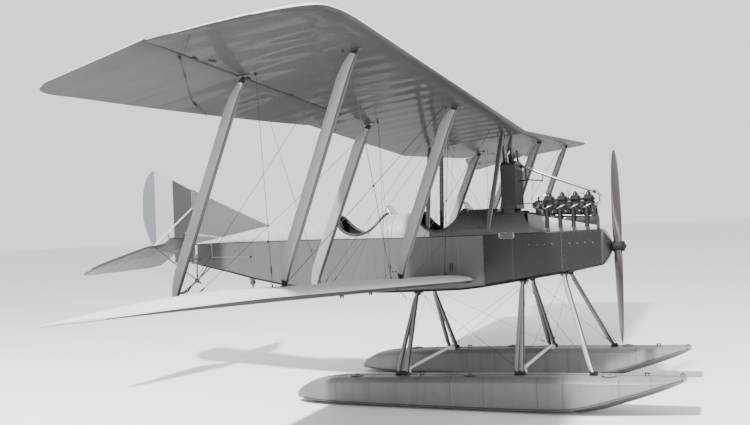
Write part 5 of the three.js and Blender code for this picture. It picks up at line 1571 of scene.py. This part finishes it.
# ------------------------ radiator, its fittings and the water pipe
RX0, RX1, RHALF, RBOTTOM, RTOP = -0.34, -0.124, 0.262, -1.12, -0.43
core = []
for side_x in (RX0 - 0.002, RX1 + 0.002):
    for y in np.linspace(-RHALF + 0.03, RHALF - 0.03, 27):
        core.append([at(side_x, y, RBOTTOM + 0.06), at(side_x, y, RTOP - 0.13)])
swept("radiator_tubes", core, 0.007, 0.0075, "radiator_black", sides=6)
fins = []
for z in np.linspace(RBOTTOM + 0.07, RTOP - 0.14, 34):
    for side_y in (-1, 1):
        fins.append([at(RX0 + 0.012, side_y * (RHALF + 0.001), z),
                at(RX1 - 0.012, side_y * (RHALF + 0.001), z)])
    fins.append([at(RX1 + 0.004, -RHALF + 0.02, z), at(RX1 + 0.004, RHALF - 0.02, z)])
    fins.append([at(RX0 - 0.004, -RHALF + 0.02, z), at(RX0 - 0.004, RHALF - 0.02, z)])
swept("radiator_fins", fins, 0.003, 0.0032, "radiator_black", sides=4)
straps = []
for z, tall in ((RBOTTOM + 0.03, 0.05), (RTOP - 0.115, 0.03)):
    loop = [at(x, y, z) for x, y in ((RX0 - 0.004, -RHALF - 0.004), (RX1 + 0.004, -RHALF - 0.004),
            (RX1 + 0.004, RHALF + 0.004), (RX0 - 0.004, RHALF + 0.004))]
    straps.append(skin([np.array(loop) + (0, 0, -tall * 0.4), np.array(loop) + (0, 0, tall * 0.4)]))
make_piece("radiator_straps", several(straps), "radiator_black")
tops = [turned(at(-0.23, 0, RTOP + 0.035), at(-0.23, 0, RTOP + 0.075),
        [(0, 0.04), (0.1, 0.052), (0.75, 0.052), (1, 0.03)], 24), turned(at(-0.23, 0, RTOP + 0.072),
        at(-0.23, 0, RTOP + 0.1), [(0, 0.014), (0.6, 0.02), (1, 0.012)], 14)]
for x, y, tall, r in ((-0.3, -0.12, 0.24, 0.018), (-0.19, -0.1, 0.2, 0.015),
        (-0.15, 0.12, 0.17, 0.016), (-0.27, 0.14, 0.21, 0.016)):
    tops.append(turned(at(x, y, RTOP - 0.04), at(x - 0.02, y, RTOP + tall),
            [(0, r * 1.5), (0.08, r), (0.8, r * 0.8), (1, r * 0.9)], 12))
    tops.append(turned(at(x - 0.02, y, RTOP + tall - 0.03), at(x - 0.02, y, RTOP + tall),
            [(0, r), (0.5, r * 1.25), (1, r * 0.7)], 10))
make_piece("radiator_top_fittings", several(tops), "steel_dark")
cocks = [turned(at(-0.345, -0.2, -0.33), at(-0.335, -0.2, -0.24),
        [(0, 0.014), (0.6, 0.013), (1, 0.006)], 12), turned(at(-0.24, -0.2, -0.34),
        at(-0.2, -0.2, -0.28), [(0, 0.012), (0.6, 0.014), (1, 0.006)], 12)]
make_piece("radiator_cocks", several([*cocks,
            turned(at(-0.335, -0.2, -0.45), at(-0.335, -0.2, -0.33), [(0, 0.008), (1, 0.008)], 8),
            turned(at(-0.23, -0.2, -0.47), at(-0.24, -0.2, -0.34), [(0, 0.008), (1, 0.008)], 8)]),
    "alloy_bright")
pipe_line = [(-0.144, -0.04, -0.5), (-0.03, -0.05, -0.52), (0.3, -0.08, -0.665),
    (0.7, -0.1, -0.825), (0.955, -0.1, -0.928), (1.018, -0.1, -0.985), (1.012, -0.1, -1.07),
    (0.97, -0.094, -1.112), (0.92, -0.08, -1.1)]
pipe_shares = np.linspace(0, 1, len(pipe_line))
pipe_table = np.c_[pipe_shares, np.array(pipe_line)]
pipe_path = [at(*(fair(pipe_table, t, c) for c in (1, 2, 3))) for t in np.linspace(0, 1, 90)]
make_piece("water_pipe_bent", tube(pipe_path, 0.0195, 18), "pipe_bright",
    instead_of=("water_pipe",))
clips = [turned(at(-0.09, -0.046, -0.507), at(-0.05, -0.049, -0.514), [(0, 0.021), (0.2, 0.025),
            (0.8, 0.025), (1, 0.021)], 18), turned(at(0.93, -0.1, -0.917), at(0.965, -0.1, -0.936),
        [(0, 0.02), (0.2, 0.023), (0.8, 0.023), (1, 0.02)], 18), turned(at(0.952, -0.09, -1.11),
        at(0.918, -0.08, -1.1), [(0, 0.021), (0.2, 0.026), (0.8, 0.026), (1, 0.021)], 18),
    tube([at(-0.12, -0.06, -0.72), at(0.03, -0.062, -0.71), at(0.235, -0.075, -0.735)], 0.0085, 8),
    tube([at(0.235, -0.075, -0.735), at(0.225, -0.076, -0.64)], 0.005, 8),
    bar_of(at(-0.01, -0.06, -0.735), at(-0.01, -0.06, -0.5), 0.012, 10)]
make_piece("pipe_clips_and_stay", several(clips), "steel_dark")
# Dark fairing that carries the deck forward past the radiator
SHOULDER_ARC = 62
panels = []
for side in (-1, 1):
    rings = []
    for s in [*np.linspace(0, 0.58, 8), *np.linspace(0.6, 1.0, 30)]:
        x = -0.447 + 0.7 * s
        w, base = hull_at(x, HALF) - 0.002, hull_at(x, LONGERON)
        rise = hull_at(-0.44, CROWN) - base
        edge = min(1.0, max(0.0, (x + 0.03) / 0.283))
        reach = SHOULDER_ARC * max(0.01, 1 - math.sqrt(max(0.0, 1 - (1 - edge) ** 2)))
        outer = [at(x, side * w * math.cos(rad(t)), base + rise * math.sin(rad(t)))
            for t in np.linspace(0, reach, 9)]
        inner = [at(x, side * (w - 0.004) * math.cos(rad(t)),
                base + (rise - 0.004) * math.sin(rad(t))) for t in np.linspace(reach, 0, 9)]
        rings.append(outer + inner)
    panels.append(skin(rings))
make_piece("cowl_shoulders", several(panels), "deck_dark", sharp=50)

# ------------------------ tail
def on_elevator(y, s, h):
    a = rad(ELEVATOR_DROOP)
    return at(ELEVATOR_X - s * math.cos(a) - h * math.sin(a), y,
        ELEVATOR_Z - s * math.sin(a) + h * math.cos(a))


def elevator_half():
    rings = []
    for y in sorted([*np.linspace(0.36, 0.62, 14), *np.linspace(0.66, 2.2, 52), 0.89, 0.91, 0.93,
                2.22, 2.235, 2.245]):
        lead, rear = straight(ELEVATOR_PLAN, y, 1), straight(ELEVATOR_PLAN, y, 2)
        h = 0.016
        ring = [on_elevator(y, lead + h * math.cos(rad(t)), h * math.sin(rad(t)))
            for t in np.linspace(90, 270, 9)]
        sag = 0.003 * math.sin(math.pi * ((y - 0.5) / 0.24 % 1.0)) ** 2
        for t in np.linspace(0, 1, 12)[1:]:
            ring.append(on_elevator(y, lead + (rear - lead) * t,
                    -(h * (1 - t) ** 0.8 + 0.004) + sag * math.sin(math.pi * t)))
        for t in np.linspace(1, 0, 12)[:-1]:
            ring.append(on_elevator(y, lead + (rear - lead) * t,
                    (h * (1 - t) ** 0.8 + 0.004) - sag * math.sin(math.pi * t)))
        rings.append(ring)
    shape = skin(rings)
    columns = len(rings[0])
    # The band over the spar, by the leading edge, takes painted shade: dark where the spar stops
    # the light showing through the cloth
    dark = [1 if len(f) == 4 and (max(i % columns for i in f) <= 13
            or min(i % columns for i in f) >= 27) else 0 for f in shape[1]]
    return shape, dark


half_shape, spar_painted_shade = elevator_half()
torque_bar = turned(on_elevator(-0.62, 0, 0), on_elevator(0.62, 0, 0),
    [(0, 0.014), (0.01, 0.0152), (0.99, 0.0152), (1, 0.014)], 20)
low_horns = [turned(on_elevator(s * 0.42, 0.02, -0.01), at(ELEVATOR_X + 0.06, s * 0.42,
            ELEVATOR_Z + 0.2), [(0, 0.0085), (0.9, 0.0075), (1, 0.005)], 10) for s in (-1, 1)]
whole = several([half_shape, mirrored(half_shape), torque_bar, *low_horns])
# Painted shade on the spar band of both halves; the torque bar and low horns take the same dark
# grey
elevator_marks = spar_painted_shade + spar_painted_shade + [1] * (len(torque_bar[1]) + 2 * len(low_horns[0][1]))
make_piece("elevator_skin", whole, "tail_grey", body="elevator", instead_of=("elevator",),
    second=("tail_dark_and_painted_shade", elevator_marks))
tall_horns = [turned(on_elevator(s * 0.69, 0.0, 0.01), at(ELEVATOR_X - 0.06, s * 0.69,
            ELEVATOR_Z + 0.2), [(0, 0.016), (0.3, 0.011), (1, 0.006)], 10) for s in (-1, 1)]
make_piece("elevator_horns", several(tall_horns), "steel_dark", body="elevator")
elevator_ribs = []
for y in np.arange(0.5, 2.15, 0.24):
    lead, rear = straight(ELEVATOR_PLAN, y, 1), straight(ELEVATOR_PLAN, y, 2)
    for way in (1, -1):
        elevator_ribs.append([on_elevator(y, lead + (rear - lead) * t,
                    way * (0.016 * (1 - t) ** 0.8 + 0.004)) for t in np.linspace(0.02, 0.98, 10)])
swept("elevator_ribs", both_lines(elevator_ribs), 0.011, 0.0034, "tail_grey", body="elevator",
    sides=8)
edge = [on_elevator(y, straight(ELEVATOR_PLAN, y, 2), 0.0) for y in np.linspace(0.37, 2.24, 40)]
swept("elevator_rear_edge", both_lines([edge]), 0.01, 0.01, "steel_dark", body="elevator",
    slot="fabric_grey", sides=8)
# Rudder ribs on both faces and a bead round its outline
posts = np.array(RUDDER)
rudder_ribs = []
for z in np.arange(-1.66, -0.3, 0.19):
    xs = [posts[i, 0] + (z - posts[i, 1]) * (posts[i + 1, 0]
            - posts[i, 0]) / (posts[i + 1, 1] - posts[i, 1]) for i in range(len(posts) - 1)
        if min(posts[i, 1], posts[i + 1, 1]) < z <= max(posts[i, 1], posts[i + 1, 1])]
    x0, x1 = min(xs) + 0.02, max(max(xs), min(xs) + 0.1) - 0.012
    for y in (0.017, -0.017):
        rudder_ribs.append([at(x, y, z) for x in np.linspace(x0, x1, 8)])
centre_x, centre_z = -6.25, -0.95
outline = [at(centre_x + (x - centre_x) * 0.987, 0, centre_z + (z - centre_z) * 0.992)
    for x, z in RUDDER]
swept("rudder_ribs", rudder_ribs, 0.003, 0.016, "rudder_paint", body="rudder", sides=8)
swept("rudder_edge", [outline[1:-1]], 0.012, 0.034, "rudder_paint", body="rudder", sides=10)
# Fin: pale upper edge and ribs
top_edge = [at(x, 0, z) for x, z in ((-4.3, -1.188), (-5.02, -0.86), (-5.742, -0.52))]
swept("fin_upper_edge", [top_edge], 0.034, 0.02, "deck_white", sides=10)
fin_ribs = []
for z in (-0.72, -0.9, -1.08):
    x1 = -4.287 + (z + 1.185) / (-0.515 + 1.185) * (-5.755 + 4.287) - 0.03
    for y in (0.0155, -0.0155):
        fin_ribs.append([at(x, y, z) for x in np.linspace(-5.73, x1, 8)])
swept("fin_ribs", fin_ribs, 0.003, 0.016, "tail_grey", sides=8)
# Rudder horn and its cables, skid shoe and binding
horn = both_sides(turned(at(-5.83, -0.01, -1.33), at(-5.83, -0.2, -1.33),
        [(0, 0.012), (0.9, 0.008), (1, 0.01)], 12))
make_piece("rudder_horns", horn, "steel_dark", body="rudder")
rudder_lines = [[*(at(-5.8 + 0.6 * t, s * (0.19 + 0.07 * t), -1.33 - 0.01 * t)
            for t in np.linspace(0, 1, 12)), side_point(-4.5, -1.42, 0.01, s)] for s in (-1, 1)]
cables = swept("rudder_cables", rudder_lines, WIRE, WIRE, "cable_light", body=None, sides=6)
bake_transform(cables)
shoe = [tube([at(-5.93, 0, -2.258), at(-6.0, 0, -2.29), at(-6.06, 0, -2.293), at(-6.1, 0, -2.27)],
        [0.016, 0.021, 0.018, 0.009], 12), *[turned(at(-5.71 + 0.02 * k, 0, -2.075 - 0.013 * k),
            at(-5.72 + 0.02 * k, 0, -2.085 - 0.013 * k), [(0, 0.02), (0.5, 0.024), (1, 0.02)], 14)
        for k in range(4)]]
make_piece("skid_shoe", several(shoe), "steel_dark")

# ------------------------ floats: strakes, hatches, cleats, fittings and wires
strake_paths, keel_paths, edge_paths, plank_paths = [], [], [], []
xs = [x for x in FLOAT_STATIONS if -3.05 < x < 2.06]
for s in (-1, 1):
    for k in (-1, 1):
        strake_paths.append([at(x, s * FLOAT_TRACK + k * (fair(FLOAT, x, HALF) - 0.002),
                    fair(FLOAT, x, CHINE) + 0.014) for x in xs])
        edge_paths.append([at(x, s * FLOAT_TRACK + k * (fair(FLOAT, x, HALF) - 0.001),
                    float_top(x, 1) - 0.004) for x in xs])
    keel_paths.append([at(x, s * FLOAT_TRACK, fair(FLOAT, x, KEEL) + 0.012)
            for x in xs if x > -2.3])
    plank_paths.append([at(x, s * FLOAT_TRACK, float_top(x) + 0.0035) for x in xs])
swept("float_strakes", strake_paths, 0.018, 0.018, "float_dark_and_painted_shade", sides=8)
swept("float_deck_edges", edge_paths, 0.005, 0.012, "float_grey", sides=8)
swept("float_deck_seams", plank_paths, 0.008, 0.004, "float_dark_and_painted_shade", sides=6)
bands = []
for x in (-2.5, -2.0, -1.3, -0.85, -0.4, 0.3, 0.62, 1.3, 1.68):
    for s in (-1, 1):
        half = fair(FLOAT, x, HALF)
        low = fair(FLOAT, x, CHINE) + 0.03
        for k in (-1, 1):
            bands.append([at(x, s * FLOAT_TRACK + k * (half + 0.0004), z)
                    for z in np.linspace(low, float_top(x, 1) - 0.01, 5)])
        bands.append([at(x, s * FLOAT_TRACK + half * k, float_top(x, k) + 0.0005)
                for k in np.linspace(-0.98, 0.98, 21)])
swept("float_seams", bands, 0.004, 0.004, "float_dark_and_painted_shade", sides=6)
rivets = []
for s in (-1, 1):
    for x in np.arange(-2.9, 2.0, 0.06):
        half = fair(FLOAT, x, HALF)
        for k in (-1, 1):
            rivets.append((at(x, s * FLOAT_TRACK + k * (half + 0.0005), float_top(x, 1) - 0.02),
                    (0, k, 0), 1.0))
            rivets.append((at(x, s * FLOAT_TRACK + k * (half + 0.0005),
                        fair(FLOAT, x, CHINE) + 0.034), (0, k, 0), 1.0))
            rivets.append((at(x, s * FLOAT_TRACK + k * half * 0.8, float_top(x, 0.8) + 0.0005),
                    (0, k * 0.3, 1), 1.0))
copies("float_rivets", rivets,
    turned((0, 0, -0.1), (0, 0, 0.34), [(0, 0.5), (0.6, 0.44), (1, 0.16)], 6), 0.009, "float_grey")
hatches, hatch_rims, cleats = [], [], []
for s in (-1, 1):
    for x in (-2.25, -0.62, 1.17):
        c = at(x, s * (FLOAT_TRACK + 0.06), float_top(x, 0.25) + 0.003)
        hatches.append(turned(c - (0, 0, 0.004), c + (0, 0, 0.009),
                [(0, 0.075), (0.6, 0.075), (0.85, 0.07), (1, 0.03)], 32))
        hatch_rims.append(tube([c + (0.083 * math.cos(t), 0.083 * math.sin(t), 0.002)
                    for t in circle(36)], 0.005, 8, closed=True))
        hatch_rims.append(turned(c + (-0.03, 0, 0.014), c + (0.03, 0, 0.014),
                [(0, 0.005), (0.5, 0.007), (1, 0.005)], 10))
    for x in (-1.32, 1.62):
        deck = float_top(x) + 0.003
        for dx in (-0.02, 0.02):
            cleats.append(turned(at(x + dx, s * FLOAT_TRACK, deck - 0.004),
                    at(x + dx, s * FLOAT_TRACK, deck + 0.03),
                    [(0, 0.01), (0.2, 0.006), (0.9, 0.006), (1, 0.008)], 10))
        cleats.append(turned(at(x - 0.05, s * FLOAT_TRACK, deck + 0.032),
                at(x + 0.05, s * FLOAT_TRACK, deck + 0.032),
                [(0, 0.003), (0.2, 0.006), (0.5, 0.008), (0.8, 0.006), (1, 0.003)], 12))
    bow = at(2.03, s * FLOAT_TRACK, float_top(2.03) - 0.014)
    cleats.append(tube([bow + (0.02 * math.cos(t), 0.0, 0.02 * math.sin(t) + 0.02)
                for t in circle(24)], 0.004, 8, closed=True))
make_piece("float_hatches", several(hatches), "float_grey")
make_piece("float_hatch_rims", several(hatch_rims), "steel")
make_piece("float_cleats", several(cleats), "steel_dark")
feet, foot_bolts = [], []
for x, long in ((-1.595, 0.1), (0.0375, 0.075), (0.976, 0.05)):
    deck = float_top(x)
    for s in (-1, 1):
        c = s * FLOAT_TRACK
        feet.append(block(x - long, x + long, c - 0.055, c + 0.055, deck - 0.004, deck + 0.012,
                0.004))
        for k in (-1, 1):
            feet.append(block(x - long * 0.9, x + long * 0.9, c + k * 0.02, c + k * 0.03,
                    deck + 0.01, deck + 0.045, 0.003))
            for dx in (-0.88, 0.88):
                foot_bolts.append((at(x + long * dx, c + k * 0.043, deck + 0.012), (0, 0, 1), 0.8))
            for dx in (-0.5, 0.5):
                foot_bolts.append((at(x + long * dx, c + k * 0.03, deck + 0.03), (0, k, 0), 0.8))
for x, y in ((-1.62, 0.385), (-0.06, 0.335), (0.507, 0.285)):
    z = hull_at(x, FLOOR_LINE)
    for s in (-1, 1):
        feet.append(block(x - 0.06, x + 0.06, s * (y - 0.045), s * (y + 0.02), z - 0.012, z + 0.01,
                0.003))
        feet.append(turned(at(x - 0.04, s * y, z - 0.03), at(x + 0.04, s * y, z - 0.03),
                [(0, 0.014), (0.5, 0.02), (1, 0.014)], 12))
        for dx in (-0.045, 0.045):
            foot_bolts.append((at(x + dx, s * (y - 0.02), z - 0.012), (0, 0, -1), 1.0))
make_piece("float_strut_fittings", several(feet), "steel_dark")
copies("float_strut_bolts", foot_bolts, NUT, 0.016, "steel")
stations = {"rear": (-1.6, -1.62, 0.385), "mid": (0.04, -0.06, 0.335),
    "front": (0.976, 0.507, 0.285)}
runs, float_lugs, buckles = [], [], []


def float_wire(a, b):
    run = (b - a) / np.linalg.norm(b - a)
    runs.append([a, b])
    float_lugs.append((a, run, 1.0))
    float_lugs.append((b, -run, 1.0))
    buckles.append((a + run * 0.16, run, 1.0))


for s in (-1, 1):
    for one, two in (("rear", "mid"), ("mid", "front")):
        for low, high in ((one, two), (two, one)):
            fx, _, _ = stations[low]
            _, tx, ty = stations[high]
            lean = 0.02 if low == one else -0.02
            float_wire(at(fx, s * (FLOAT_TRACK - 0.06 + lean), float_top(fx) + 0.03),
                at(tx, s * (ty - 0.03 + lean), hull_at(tx, FLOOR_LINE) - 0.012))
    for name, (fx, tx, ty) in stations.items():
        gap = 0.06 * s
        float_wire(at(fx + gap, s * (FLOAT_TRACK - 0.08), float_top(fx) + 0.03),
            at(tx + gap, -s * (ty - 0.06), hull_at(tx, FLOOR_LINE) - 0.012))
swept("float_bracing_wires", runs, 0.0052, 0.0052, "cable", sides=6)
copies("float_wire_lugs", float_lugs, LUG, 0.022, "steel_dark")
copies("float_wire_turnbuckles", buckles, TURNBUCKLE, 0.1, "steel")

# ------------------------ propeller hub plates and bolts
plates = [turned(at(SHAFT_X + x0, 0, SHAFT_Z),
        at(SHAFT_X + x1, 0, SHAFT_Z), [(0, 0.068), (0.2, 0.073), (0.8, 0.073), (1, 0.068)], 40)
    for x0, x1 in ((-0.064, -0.054), (0.075, 0.084))]
plates.append(turned(at(SHAFT_X + 0.09, 0, SHAFT_Z), at(SHAFT_X + 0.115, 0, SHAFT_Z),
        [(0, 0.03), (0.6, 0.028), (1, 0.012)], 20))
make_piece("propeller_plates", several(plates), "hub_dark", body="propeller")
BOLT_CIRCLE = 0.058
hub_bolts = [(at(SHAFT_X + x, BOLT_CIRCLE * math.cos(t), SHAFT_Z + BOLT_CIRCLE * math.sin(t)),
        (way, 0, 0), 1.0) for t in circle(8) for x, way in ((0.084, 1), (-0.064, -1))]
copies("propeller_bolts", hub_bolts, NUT, 0.016, "steel_dark", body="propeller")

# ------------------------ floor and end
floor_mesh = bpy.data.meshes.new("floor")
floor_mesh.from_pydata([(-150, -60, -0.002), (150, -60, -0.002), (150, 240, -0.002),
        (-150, 240, -0.002)], [], [(0, 1, 2, 3)])
floor_mesh.materials.append(floor_finish)
floor = bpy.data.objects.new("floor", floor_mesh)
bpy.context.scene.collection.objects.link(floor)
